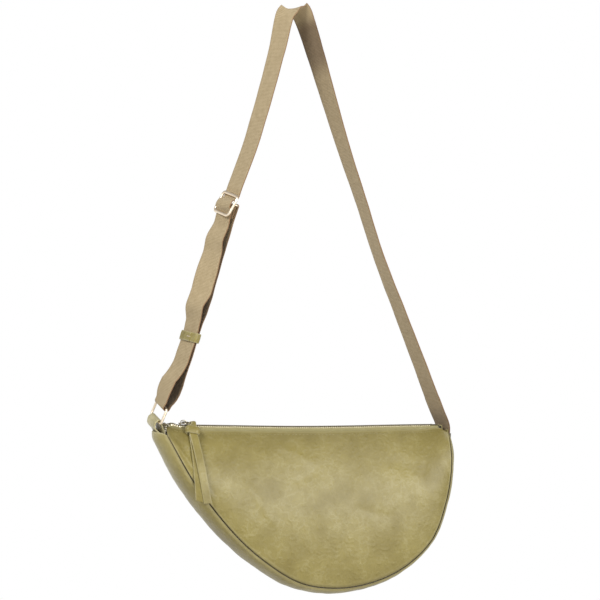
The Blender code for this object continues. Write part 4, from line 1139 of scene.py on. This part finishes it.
fall_side = Vector((cos(PULLER_TURN), -sin(PULLER_TURN), 0.0))
ring_down = fall_side * cos(PULLER_LEAN) - UP * sin(PULLER_LEAN)
ring_across = ring_down.cross(UP).normalized()
puller_centre = bridge_pivot + ring_down * PULLER_RADIUS
puller_points = circle(puller_centre, -ring_down, ring_across, PULLER_RADIUS, PULLER_STEPS)
puller = tube("zip_puller_ring", puller_points, PULLER_WIRE, nickel, 10, closed=True)
finish_piece(puller, "puller", "zip_nickel", "zip_puller")


# Pull: a leather strip threaded through the puller, its two tails bound by a wrap under the ring.
# Its painted edges are paler than its face, and its ends are cut on a slant.
PULL_WIDTH = 0.0096
PULL_THICKNESS = 0.0014
PULL_LENGTH = 0.0925
PULL_BACK_LENGTH = 0.0890
PULL_HEAD = 0.0125
HEAD_LEAN = radians(31)
HEAD_PINCH = 0.95
HEAD_ROOM = 0.0017
FRONT_TAIL_DRIFT = 0.012
FRONT_TAIL_STAND = 0.0048
BACK_TAIL_DRIFT = 0.003
BACK_TAIL_STAND = 0.0022
BACK_TAIL_TURN = radians(15)
TAIL_SPREAD = 0.0003
BAND_HEIGHT = 0.0098
BAND_EXTRA = 0.0030
BAND_TILT = radians(-12)
TRAVEL_STEPS = 12
FIRST_DOWN = 0.1
TAIL_STEPS = 16
HEAD_STEPS = 14
HEAD_NARROW = 0.3
BAND_DROP = 0.0035
BAND_LEATHER = 0.0013
BAND_CROWN = 0.0017
PULL_CUT = 0.0035

pull_leather = leather("olive_leather_strip", LEATHER_MID, LEATHER_LIGHT, 0.8, 18.0)
pull_pivot = Vector(joints["pull_swing"]["pos_m"])
head_way = Vector((0.0, -sin(HEAD_LEAN), -cos(HEAD_LEAN)))
head_out = Vector((0.0, -cos(HEAD_LEAN), sin(HEAD_LEAN)))
loop_way = (fall_side * cos(HEAD_LEAN) + UP * sin(HEAD_LEAN)).normalized()


def panel_y_at(x, z):
    """The front face's y over a place in the panel, found by closing in on that place."""
    share, down = share_at_x(x), FIRST_DOWN
    for _ in range(CLOSING_STEPS):
        here = bare_panel(share, down)
        share = clamp(share + (x - here.x) / PANEL_WIDTH)
        down = clamp(down + (here.z - z) / (seam_point(share) - top_point(share)).length)
    return bare_panel(share, down).y


def foremost_face_y(x, z):
    """The panel's foremost y behind a tail at a place, at every stop of the zip's travel."""
    slide = joints["zip_slide"]
    reached = []
    for k in range(TRAVEL_STEPS + 1):
        run = Vector(slide["axis"]) * (slide["range_m"][1] * k / TRAVEL_STEPS)
        for shift in (-PULL_WIDTH / 2.0, 0.0, PULL_WIDTH / 2.0):
            reached.append(panel_y_at(x + run.x + shift, z + run.z))
    return min(reached)


def laid_out(plan, centre, across, out):
    """A plan's places, each its distances across and out."""
    return [centre + across * a + out * b for a, b in plan]


def tail_line(length, drift, stand_off, turn, sign):
    """Places and width directions of one tail, from its head down to its end."""
    side = head_out * (-sign * (PULL_THICKNESS / 2.0 + TAIL_SPREAD))
    drops = (BAND_DROP, (BAND_DROP + PULL_HEAD) / 2.0, PULL_HEAD)
    points = [pull_pivot + side + head_way * drop for drop in drops]
    across = [X_WAY] * len(drops)
    start = points[-1]
    for k in range(1, TAIL_STEPS + 1):
        part = k / TAIL_STEPS
        x, z = pull_pivot.x + drift * part, start.z - (length - PULL_HEAD) * part
        points.append(Vector((x, min(start.y, foremost_face_y(x, z) - stand_off), z)))
        across.append(Vector((cos(turn * part), -sin(turn * part), 0.0)))
    return points, across


def add_pull():
    front, front_across = tail_line(PULL_LENGTH, FRONT_TAIL_DRIFT, FRONT_TAIL_STAND, 0.0, -1.0)
    back, back_across = tail_line(PULL_BACK_LENGTH, BACK_TAIL_DRIFT, BACK_TAIL_STAND, BACK_TAIL_TURN, 1.0)
    head_turn = PULLER_WIRE + HEAD_ROOM + PULL_THICKNESS / 2.0
    head, head_across = [], []
    for k in range(1, HEAD_STEPS):
        angle = pi * k / HEAD_STEPS
        turned = loop_way * cos(angle) - head_way * sin(angle)
        head.append(pull_pivot + turned * head_turn)
        head_across.append(-ring_across * (HEAD_PINCH * (1.0 - HEAD_NARROW * sin(angle))))
    strip = sweep(
        "pull_strip_leather", front[::-1] + head + back, front_across[::-1] + head_across + back_across,
        (PULL_WIDTH, PULL_THICKNESS), pull_leather, flats=8, cut=PULL_CUT,
    )
    finish_piece(strip, "pull", "olive_leather", "pull_strip")
    centre = pull_pivot + head_way * ((BAND_DROP + PULL_HEAD) / 2.0)
    span = PULL_WIDTH + TAIL_SPREAD + BAND_LEATHER + BAND_EXTRA
    tilt = Matrix.Rotation(BAND_TILT, 3, head_out)
    band_across, band_up = tilt @ X_WAY, tilt @ head_way
    thick = 2.0 * PULL_THICKNESS + 4.0 * TAIL_SPREAD + BAND_LEATHER
    ring = laid_out(section_points(span, thick, 8, 8), centre, band_across, head_out)
    band = sweep(
        "pull_band_leather", ring[::-1], [band_up] * len(ring), (BAND_HEIGHT, BAND_LEATHER), pull_leather,
        closed=True, crown=BAND_CROWN,
    )
    finish_piece(band, "pull", "olive_leather", "pull_band")


add_pull()


# Ring: bright gold-plated wire bent to a rectangle with round corners. It stands tilted, its upper
# bar in the strap's loop and its lower bar in the tab.
RING_WIDTH = 0.0345
RING_WIRE = 0.0015
RING_CORNER = 0.0028
RING_TOP = in_plane(-0.1610, -0.4710)
RING_BOTTOM = in_plane(-0.1685, -0.4880)
RING_TILT = radians(17)
RING_TURN = radians(8)
GOLD = "F8E8D0"
GOLD_DARK = "D2BB97"

gold = metal("pale_gold_plating", GOLD, GOLD_DARK, 0.32)
ring_up = (RING_TOP - RING_BOTTOM).normalized()
ring_width_way = Vector((
    sin(RING_TURN) * cos(RING_TILT),
    -cos(RING_TURN) * cos(RING_TILT),
    -sin(RING_TILT),
))


def rounded_rectangle(width, height, corner, turns=8):
    """Points round a rectangle with round corners, as (across, up)."""
    points = []
    for quarter, (sx, sy) in enumerate(((1, 1), (-1, 1), (-1, -1), (1, -1))):
        cx, cy = sx * (width / 2.0 - corner), sy * (height / 2.0 - corner)
        for k in range(turns + 1):
            angle = pi / 2.0 * (quarter + k / turns)
            points.append((cx + corner * cos(angle), cy + corner * sin(angle)))
    return points


ring_middle = (RING_TOP + RING_BOTTOM) / 2.0
ring_plan = rounded_rectangle(RING_WIDTH, (RING_TOP - RING_BOTTOM).length, RING_CORNER)
ring_points = laid_out(ring_plan, ring_middle, ring_width_way, ring_up)
ring = tube("strap_ring_wire", ring_points, RING_WIRE, gold, 14, closed=True)
finish_piece(ring, "ring", "pale_gold", "strap_ring")


# Tab: a leather strip folded round the ring's lower bar, both ends sewn inside the gusset's point.
# It turns from the ring's slant at its top to the gusset's at its foot.
TAB_WIDTH = 0.025
TAB_LEATHER = 0.0017
TAB_END_DROP = 0.0245
TAB_STAND_OFF = 0.0078
TAB_BELLY = 0.0028
TAB_FOOT_WAY = Vector((0.30, -0.92, -0.25)).normalized()
TAB_SNUG = 0.0003
TAB_FOOT_LEAN = 0.0014
TAB_INNER_LEAN = 0.0008
TAB_TURN_STEPS = 7
TAB_STEPS = 70
TAB_EDGE_WEAR = 0.0012
# Painted sheen: the tab's leather is a paler copy of the panels' olive leather
TAB_SHEEN_MID = "C4BA8C"
TAB_SHEEN_LIGHT = "DAD2AB"

tab_leather = leather("olive_leather_tab_painted_sheen", TAB_SHEEN_MID, TAB_SHEEN_LIGHT, 0.9, 16.0)


def add_tab():
    turn = RING_WIRE + TAB_SNUG + TAB_LEATHER / 2.0
    outer_foot = in_plane(PANEL_LEFT - TAB_STAND_OFF, RING_BOTTOM.z - TAB_END_DROP)
    inner_foot = outer_foot + X_WAY * (TAB_LEATHER + TAB_SNUG)
    guides = [
        outer_foot,
        outer_foot + in_plane(-TAB_FOOT_LEAN, TAB_END_DROP * 0.38),
        RING_BOTTOM + in_plane(-turn - TAB_BELLY, -turn * 2.6),
        RING_BOTTOM + in_plane(-turn - TAB_BELLY * 0.6, 0.0),
    ]
    for k in range(1, TAB_TURN_STEPS):
        angle = pi * k / TAB_TURN_STEPS
        guides.append(RING_BOTTOM + (UP * sin(angle) - X_WAY * cos(angle)) * turn)
    guides += [
        RING_BOTTOM + in_plane(turn, -turn * 0.8),
        inner_foot + in_plane(TAB_INNER_LEAN, TAB_END_DROP * 0.42),
        inner_foot,
    ]
    line = cubic_line(guides, TAB_STEPS)
    parts = [clamp((p.z - outer_foot.z) / TAB_END_DROP) for p in line]
    across = [TAB_FOOT_WAY.lerp(ring_width_way, part).normalized() for part in parts]
    size = (TAB_WIDTH, TAB_LEATHER)
    tab = sweep("ring_tab_leather", line, across, size, tab_leather, 10, edge=TAB_EDGE_WEAR)
    finish_piece(tab, "bag", "olive_leather", "ring_tab")


add_tab()


# Webbing: one long strip of khaki woven webbing. It is sewn in behind the right corner, goes up over
# the hook, down through the strap slider, round the ring, and back up to the slider's middle bar.
# Near the slider the loose outer ply waves a little; its cut yarns show reddish along the edges.
WEB_WIDTH = 0.030
WEB = 0.0014
WEB_FLATS = 10
APEX_FLAT = 0.0026
APEX_CUP = 0.0022
APEX_CUP_REACH = 0.012
ANCHOR_DEPTH = 0.0125
LOOP_RISE = 0.030
# The strap's middle line from the hook down, as x and z: the left run, and the right one below
LEFT_RUN = (
    (-0.0060, -0.0006), (-0.0110, -0.0072), (-0.0205, -0.0470), (-0.0375, -0.1090), (-0.0545, -0.1650),
)
SLIDER_PLACE = in_plane(-0.0800, -0.2350)
LEFT_SLOPE = radians(18.5)
SLIDER_STRAIGHT_UP = 0.020
SLIDER_STRAIGHT_DOWN = 0.090
KEEPER_PLACE = in_plane(-0.1282, -0.3912)
KEEPER_SLOPE = radians(17.5)
KEEPER_STRAIGHT_UP = 0.034
KEEPER_STRAIGHT_DOWN = 0.030
RIGHT_RUN = (
    (0.0060, -0.0006), (0.0110, -0.0072), (0.0260, -0.0498), (0.0440, -0.1070), (0.0622, -0.1644),
    (0.0850, -0.2300), (0.1067, -0.2946), (0.1300, -0.3530), (0.1536, -0.4115), (0.1750, -0.4660),
)
ANCHOR = in_plane(0.1894, -0.5015)
APEX_TWIST = radians(34)
LEFT_TWIST = radians(26)
DOUBLED_TWIST = radians(22)
FRAME_TWIST = radians(18)
RIGHT_MID_TWIST = radians(7)
RIGHT_END_TWIST = radians(16.5)
FOOT_TWIST_SHARE = 0.1
UNTWIST_SHARE = 0.25
RIGHT_MIDDLE_SHARE = 0.58
PLY_STEP = 0.0021
LOOP_BELLY = 0.0060
LOOP_BLUNT = 1.5
LOOP_TURN_SHARE = 0.66
# The loop's outer side downwards and inner side upwards, as shares of its belly and of its rise
LOOP_OUTER_SHARES = ((1.0, 0.9), (1.02, 0.75), (0.98, 0.6), (0.90, 0.45), (0.76, 0.30), (0.60, 0.17))
LOOP_INNER_SHARES = ((0.70, 0.15), (0.95, 0.28), (1.12, 0.42), (1.17, 0.6), (1.1, 0.8), (1.0, 1.01))
LINE_STEP = 0.003
RING_ROOM = 0.0005
LOOP_TURN_STEPS = 12
# How far the loose outer ply stands off, in metres, by its distance below the slider
PLY_WAVES = (
    (-0.030, 0.0000), (-0.0105, 0.0000), (-0.0015, 0.0084), (0.0035, 0.0086), (0.0105, 0.0032),
    (0.024, 0.0016), (0.044, 0.0050), (0.062, 0.0010), (0.086, 0.0006), (0.104, 0.0010),
    (0.127, 0.0064), (0.146, 0.0016), (0.158, 0.0004),
    (0.170, 0.0003), (0.184, 0.0012), (0.200, 0.0010), (0.220, 0.0000), (0.260, 0.0000),
)
# How far both plies turn to the front between slider and keeper, in degrees, by the same distance
PLY_TURNS = (
    (0.015, 0.0), (0.042, 8.0), (0.060, 13.0), (0.086, 22.0), (0.108, 20.0), (0.130, 8.0), (0.148, 0.0),
)
RIPPLE_WAVE = 0.026
RIPPLE = 0.0004
BAR_WIRE = 0.0010
BAR_BACK = 0.0020
BAR_SNUG = 0.0002
BAR_TURN = BAR_WIRE + BAR_SNUG + WEB / 2.0
BAR_TURN_STEPS = 12
RETURN_TAIL = 0.016
TAIL_PARTS = 5
RETURN_SPREAD = 0.150
WEB_MID = "C0AB84"
WEB_LIGHT = "DAC7A2"
WEB_DARK = "7F6C49"
WEB_EDGE = "8A6040"
# Painted shade on the inside faces of the plies below the slider
INNER_SHADE = 0.6
INNER_SHADE_DROP = 0.02
INNER_SHADE_FADE = 0.03
# Painted shade on the right run by its depth below the hook
RIGHT_SHADE = (
    (0.0, 0.0), (0.008, 0.10), (0.022, 0.62), (0.055, 0.60), (0.085, 0.16), (0.150, 0.08), (0.300, 0.05),
    (0.430, 0.12), (0.470, 0.25), (0.495, 0.50),
)

web_material = woven("khaki_webbing_weave", WEB_MID, WEB_LIGHT, WEB_DARK, WEB_EDGE, 1.7, 1.1, 0.00022, 15.0)
slider_way = in_plane(sin(LEFT_SLOPE), cos(LEFT_SLOPE))
keeper_way = in_plane(sin(KEEPER_SLOPE), cos(KEEPER_SLOPE))
keeper_low = KEEPER_PLACE - keeper_way * KEEPER_STRAIGHT_DOWN
ring_rise = (keeper_low - RING_TOP).normalized()
loop_top = RING_TOP + ring_rise * LOOP_RISE


def width_way(up, twist):
    """The webbing's width direction on a run, turned from straight fore and aft."""
    level = in_plane(up.z, -up.x)
    return (level * sin(twist) - Y_WAY * cos(twist)).normalized()


def outward_way(up, across):
    """Square to the webbing's face, on the side away from the bag's middle."""
    way = across.cross(up).normalized()
    return way if way.x < 0 else -way


def twist_left(z):
    part = min(z / SLIDER_PLACE.z, 1.0)
    upper = APEX_TWIST + (LEFT_TWIST - APEX_TWIST) * min(part / UNTWIST_SHARE, 1.0)
    below = (SLIDER_PLACE.z - z) / slider_way.z
    lower = (DOUBLED_TWIST - LEFT_TWIST) * max(0.0, part - UNTWIST_SHARE) / (1.0 - UNTWIST_SHARE)
    return upper + lower + radians(table_value(PLY_TURNS, below))


def twist_right(z):
    middle_z = ANCHOR.z * RIGHT_MIDDLE_SHARE
    if z > middle_z:
        return APEX_TWIST + (RIGHT_MID_TWIST - APEX_TWIST) * sin(pi / 2.0 * z / middle_z)
    return RIGHT_MID_TWIST + (RIGHT_END_TWIST - RIGHT_MID_TWIST) * (z - middle_z) / (ANCHOR.z - middle_z)


def line_and_ups(points):
    line = cubic_line(points, round(reaches(points)[-1] / LINE_STEP))
    return line, [-way for way in ways(line)]


def table_value(table, at):
    """A smooth value between a table's places."""
    for (x0, y0), (x1, y1) in zip(table, table[1:]):
        if x0 <= at <= x1:
            part = (at - x0) / (x1 - x0)
            return y0 + (y1 - y0) * smooth_step(part)
    return table[-1][1] if at > table[-1][0] else table[0][1]


def loop_belly(z, power):
    part = clamp((keeper_low.z - z) / (keeper_low.z - loop_top.z))
    return LOOP_BELLY * part ** power


def outer_stand(p):
    """How far the outer ply stands out from the strap's middle line: slider hump, waves and loop."""
    return table_value(PLY_WAVES, (SLIDER_PLACE - p).dot(slider_way)) + loop_belly(p.z, 2.0)


left_line, left_ups = line_and_ups([in_plane(x, z) for x, z in LEFT_RUN] + [
    SLIDER_PLACE + slider_way * SLIDER_STRAIGHT_UP,
    SLIDER_PLACE,
    SLIDER_PLACE - slider_way * SLIDER_STRAIGHT_DOWN,
    KEEPER_PLACE + keeper_way * KEEPER_STRAIGHT_UP,
    KEEPER_PLACE,
    keeper_low,
    loop_top,
])
right_line, right_ups = line_and_ups([in_plane(x, z) for x, z in RIGHT_RUN])


def right_end():
    """The sewn-in end, from inside the bag's corner up to the run's lower end."""
    start = right_line[-1]
    line, ups = line_and_ups([start, start.lerp(ANCHOR, 0.5), ANCHOR, ANCHOR - UP * ANCHOR_DEPTH])
    across = []
    for p, up in zip(line, ups):
        part = clamp((start.z - p.z) / (start.z - ANCHOR.z))
        across.append(width_way(up, RIGHT_END_TWIST * (1.0 - FOOT_TWIST_SHARE * part)))
    return line[:0:-1], across[:0:-1]


def ring_loop():
    """Round the ring's upper bar, from the outer ply to the start of the return ply."""
    turn = RING_WIRE + RING_ROOM + WEB / 2.0
    loop_across = width_way(ring_rise, DOUBLED_TWIST)
    plan = [(LOOP_BELLY * out, LOOP_RISE * rise) for out, rise in LOOP_OUTER_SHARES]
    for k in range(LOOP_TURN_STEPS + 1):
        angle = pi * k / LOOP_TURN_STEPS
        plan.append((turn * LOOP_BLUNT * cos(angle), -turn * sin(angle)))
    plan += [(-LOOP_BELLY * out, LOOP_RISE * rise) for out, rise in LOOP_INNER_SHARES]
    points, across = [], []
    for out, rise in plan:
        way = ring_width_way.lerp(loop_across, clamp(rise / (LOOP_RISE * LOOP_TURN_SHARE))).normalized()
        points.append(RING_TOP + ring_rise * rise + outward_way(ring_rise, way) * out)
        across.append(way)
    return points, across


def ripple(i, seed):
    return RIPPLE * noise.noise(Vector((i * LINE_STEP / RIPPLE_WAVE, seed, 0.0)))


def ply_shade(points):
    """Painted shade: the right run lies in the strap's own shade, and on the left the two plies shade each
    other's inside.
    """
    section = section_points(WEB_WIDTH, WEB, WEB_FLATS)
    found = []
    for p in points:
        right = table_value(RIGHT_SHADE, -p.z) if p.x > 0.0 else 0.0
        part = clamp((SLIDER_PLACE.z - p.z - INNER_SHADE_DROP) / INNER_SHADE_FADE) if p.x < 0.0 else 0.0
        found += [max(right, INNER_SHADE * part if v < 0.0 else 0.0) for _, v in section]
    return found


def add_long_ply():
    points, across = right_end()
    for i, (p, up) in enumerate(zip(right_line[::-1], right_ups[::-1])):
        way = width_way(up, twist_right(p.z))
        points.append(p + outward_way(up, way) * ripple(i, 4.0))
        across.append(way)
    apex_across = width_way(UP, APEX_TWIST)
    points += [in_plane(APEX_FLAT * share, WEB / 2.0) for share in (1.0, 0.5, -0.5, -1.0)]
    across += [apex_across] * 4
    for i, (p, up) in enumerate(zip(left_line, left_ups)):
        way = width_way(up, twist_left(p.z))
        points.append(p + outward_way(up, way) * (outer_stand(p) + ripple(i, 9.0)))
        across.append(way)
    loop_points, loop_across = ring_loop()
    points += loop_points
    across += loop_across
    ply = sweep("webbing_long_ply", points, across, (WEB_WIDTH, WEB), web_material, WEB_FLATS)
    set_point_values(ply, "shade", ply_shade(points))
    for v in ply.data.vertices:
        flat = v.co - apex_across * v.co.dot(apex_across)
        edge = (v.co.dot(apex_across) / (WEB_WIDTH / 2.0)) ** 2
        v.co.z += APEX_CUP * edge * bell(flat.length, APEX_CUP_REACH)
    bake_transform(ply)
    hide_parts("strap_webbing", "strap_loop", "strap_end")


def add_return_ply():
    """The inner ply, from the ring loop up to the slider, round its middle bar and sewn down."""
    points, across = [], []
    for p, up in zip(left_line[::-1], left_ups[::-1]):
        if (p - SLIDER_PLACE).dot(slider_way) > -BAR_WIRE - WEB:
            break
        way = width_way(up, twist_left(p.z))
        near = 1.0 - min((SLIDER_PLACE - p).length / RETURN_SPREAD, 1.0)
        behind = PLY_STEP + loop_belly(p.z, 1.6) * (1.0 - PLY_STEP / LOOP_BELLY)
        behind += (BAR_BACK + BAR_TURN - PLY_STEP) * near
        points.append(p - outward_way(up, way) * behind)
        across.append(way)
    slider_across = width_way(slider_way, DOUBLED_TWIST)
    slider_out = outward_way(slider_way, slider_across)
    centre = SLIDER_PLACE - slider_out * BAR_BACK
    for k in range(1, BAR_TURN_STEPS + 1):
        angle = pi * k / BAR_TURN_STEPS
        points.append(centre + (slider_way * sin(angle) - slider_out * cos(angle)) * BAR_TURN)
    for k in range(1, TAIL_PARTS + 1):
        points.append(centre + slider_out * BAR_TURN - slider_way * (RETURN_TAIL * k / TAIL_PARTS))
    across += [slider_across] * (BAR_TURN_STEPS + TAIL_PARTS)
    ply = sweep("webbing_return_ply", points, across, (WEB_WIDTH, WEB), web_material, WEB_FLATS)
    set_point_values(ply, "shade", ply_shade(points))
    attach(ply, "strap")
    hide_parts("strap_return")
    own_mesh(ply)


add_long_ply()
add_return_ply()


# Strap slider: a flat cast frame in front of the webbing, and the round middle bar behind it.
# Two short legs join them beside the webbing, and the frame sits rolled a little on the strap.
FRAME_WIDTH = 0.0350
FRAME_HEIGHT = 0.0250
FRAME_BAR = 0.0041
FRAME_THICK = 0.0030
FRAME_CORNER = 0.0042
FRAME_STAND = 0.0046
FRAME_LEAN = 0.12
FRAME_ROLL = radians(-8.5)
LEG_SHORT = 0.0008
LEG_STEPS = 5


def add_strap_slider():
    across_way = width_way(slider_way, FRAME_TWIST)
    out_way = outward_way(slider_way, across_way)
    roll = Matrix.Rotation(FRAME_ROLL, 3, out_way)
    frame_across, frame_up = roll @ across_way, roll @ slider_way
    centre = SLIDER_PLACE + out_way * FRAME_STAND
    outline = rounded_rectangle(FRAME_WIDTH, FRAME_HEIGHT, FRAME_CORNER)
    leaning = frame_up - out_way * FRAME_LEAN
    points = laid_out(outline, centre, frame_across, leaning)
    inward = [way.cross(out_way).normalized() for way in ways(points, closed=True)]
    cast = sweep("strap_slider_frame", points, inward, (FRAME_BAR, FRAME_THICK), gold, 4, closed=True)
    finish_piece(cast, "strap_slider", "pale_gold", "strap_slider")
    corner, half = 2.0 * BAR_WIRE, FRAME_WIDTH / 2.0
    plan = [(half, FRAME_STAND - LEG_SHORT), (half, corner - BAR_BACK)]
    for k in range(1, LEG_STEPS + 1):
        angle = pi / 2.0 * k / LEG_STEPS
        plan.append((half - corner * (1.0 - cos(angle)), corner * (1.0 - sin(angle)) - BAR_BACK))
    plan += [(-across, out) for across, out in reversed(plan)]
    line = laid_out(plan, SLIDER_PLACE, across_way, out_way)
    bar = tube("strap_slider_bar", line, BAR_WIRE, gold, 12)
    finish_piece(bar, "strap_slider", "pale_gold", "slider_bar")


add_strap_slider()


# Keeper: a leather loop round both plies, its ends lapped and stapled on the outer face.
# It has room to slide along the doubled strap.
WEB_CAD = 0.0015
KEEPER_HEIGHT = 0.0115
KEEPER_LEATHER = 0.0014
KEEPER_ROOM = 0.0026
KEEPER_CORNER = 0.0018
STAPLE_WIRE = 0.0006
STAPLE_SPAN = 0.0050
STAPLE_SHIFT = 0.0030
# The staple's wire from leg to leg, as shares of its span and dips in metres
STAPLE_PLAN = (
    (-0.5, 0.0016), (-0.49, 0.0003), (-0.42, 0.0), (0.0, 0.0), (0.42, 0.0), (0.49, 0.0003), (0.5, 0.0016),
)
KEEPER_CROWN = 0.0003
LAP_LEATHER = 0.0009
LAP_HALF = 0.006
LAP_STEPS = 12
LAP_HEIGHT_SHARE = 0.96


def add_keeper():
    across_way = width_way(keeper_way, DOUBLED_TWIST)
    out_way = outward_way(keeper_way, across_way)
    span = WEB_WIDTH + KEEPER_ROOM
    thick = WEB_CAD + PLY_STEP + KEEPER_ROOM
    centre = KEEPER_PLACE - out_way * (PLY_STEP / 2.0)
    points = laid_out(rounded_rectangle(span, thick, KEEPER_CORNER)[::-1], centre, across_way, out_way)
    loop = sweep(
        "strap_keeper_leather", points, [keeper_way] * len(points), (KEEPER_HEIGHT, KEEPER_LEATHER),
        pull_leather, closed=True, crown=KEEPER_CROWN,
    )
    finish_piece(loop, "keeper", "olive_leather", "strap_keeper")
    lap_start = centre + out_way * (thick / 2.0 + KEEPER_LEATHER)
    lap = [lap_start + across_way * (LAP_HALF * (2.0 * k / LAP_STEPS - 1.0)) for k in range(LAP_STEPS + 1)]
    size = (KEEPER_HEIGHT * LAP_HEIGHT_SHARE, LAP_LEATHER)
    flap = sweep("keeper_lap", lap, [keeper_way] * len(lap), size, pull_leather)
    finish_piece(flap, "keeper", "olive_leather")
    out = thick / 2.0 + KEEPER_LEATHER * 1.45 + STAPLE_WIRE * 0.4
    plan = [(STAPLE_SHIFT + STAPLE_SPAN * part, out - dip) for part, dip in STAPLE_PLAN]
    wire = laid_out(plan, centre, across_way, out_way)
    staple = tube("keeper_staple_wire", wire, STAPLE_WIRE, gold, 10)
    finish_piece(staple, "keeper", "pale_gold", "keeper_staple")


add_keeper()


# Linings, pocket, right end piece and the inside patch keep their solids, with cloth or leather on
# them. The cloth is plain, as none of it shows while the zip is shut.
LINING_MID = "8C8262"
LINING_DARK = "6A6148"
LINING_THREAD_MM = 1.2
LINING_DEPTH = 0.0001


def lining_cloth():
    """Plain lining: fine crossed threads under a soft unevenness."""
    material, tree, shader = new_material("plain_lining_cloth")
    place = millimetres(tree)
    bricks = {"Vector": place, "Scale": 1.0 / LINING_THREAD_MM}
    threads = add_node(tree, "ShaderNodeTexBrick", bricks).outputs["Fac"]
    soft = noise_texture(tree, place, 9.0, 4.0, 0.6)
    colour = mix_colours(tree, remap(tree, soft, 0.3, 0.7), LINING_DARK, LINING_MID)
    set_inputs(tree, shader, {
        "Base Color": mix_colours(tree, remap(tree, threads, 0.0, 1.0, 0.0, 0.3), colour, LINING_DARK),
        "Normal": bump(tree, threads, LINING_DEPTH, 0.5), "Roughness": 0.9,
    })
    return material


cover(lining_cloth(), "front_lining", "back_lining", "gusset_lining", "inner_pocket")
cover(pull_leather, "zip_end_right", "strap_patch")


# Zip's left end: the tape ends fold down together over the corner, a ribbed strip with pale edges.
# It shows between the ring's tab and the panels' top corners, and closes the bag's inside from view.
ZIP_FOLD_WIDTH = 0.0215
ZIP_FOLD_THICK = 0.0010
ZIP_FOLD_TEETH = 0.0080
ZIP_FOLD_STEPS = 28
# Painted shade over the whole folded strip, which lies under the ring and the tab
ZIP_FOLD_SHADE = 0.55
# Its line over the corner and down, as x and the rise over the ridge's end
ZIP_FOLD = (
    (-0.1545, 0.0008), (-0.1566, 0.0016), (-0.1586, 0.0008), (-0.1598, -0.0024),
    (-0.1602, -0.0080), (-0.1601, -0.0170),
)


def add_zip_fold():
    guides = [in_plane(x, ridge_z(PANEL_LEFT) + rise) for x, rise in ZIP_FOLD]
    line = cubic_line(guides, ZIP_FOLD_STEPS)
    size = (ZIP_FOLD_WIDTH, ZIP_FOLD_THICK)
    fold = sweep("zip_end_fold", line, [Y_WAY] * len(line), size, tape_material, 8)
    # Painted shade over the whole folded strip
    set_point_values(fold, "shade", [ZIP_FOLD_SHADE] * len(fold.data.vertices))
    finish_piece(fold, "bag", "olive_leather", "zip_end_left")
    base, base_faces = tooth_parts()
    teeth = []
    steps = even_line(line, round(reaches(line)[-1] / TOOTH_PITCH))
    for before, after in zip(steps, steps[1:]):
        way = (after - before).normalized()
        out = in_plane(-abs(way.z), way.x if way.z < 0 else abs(way.x))
        place = (before + after) / 2.0 + out * (ZIP_FOLD_THICK / 2.0)
        teeth += [
            [place + way * p.x + Y_WAY * (side * (ZIP_FOLD_TEETH - p.y)) + out * p.z for p in base]
            for side in (-1, 1)
        ]
    row = teeth_row("zip_end_teeth", teeth, base_faces, nickel, outward=True, smooth=False)
    finish_piece(row, "bag", "zip_nickel")


add_zip_fold()
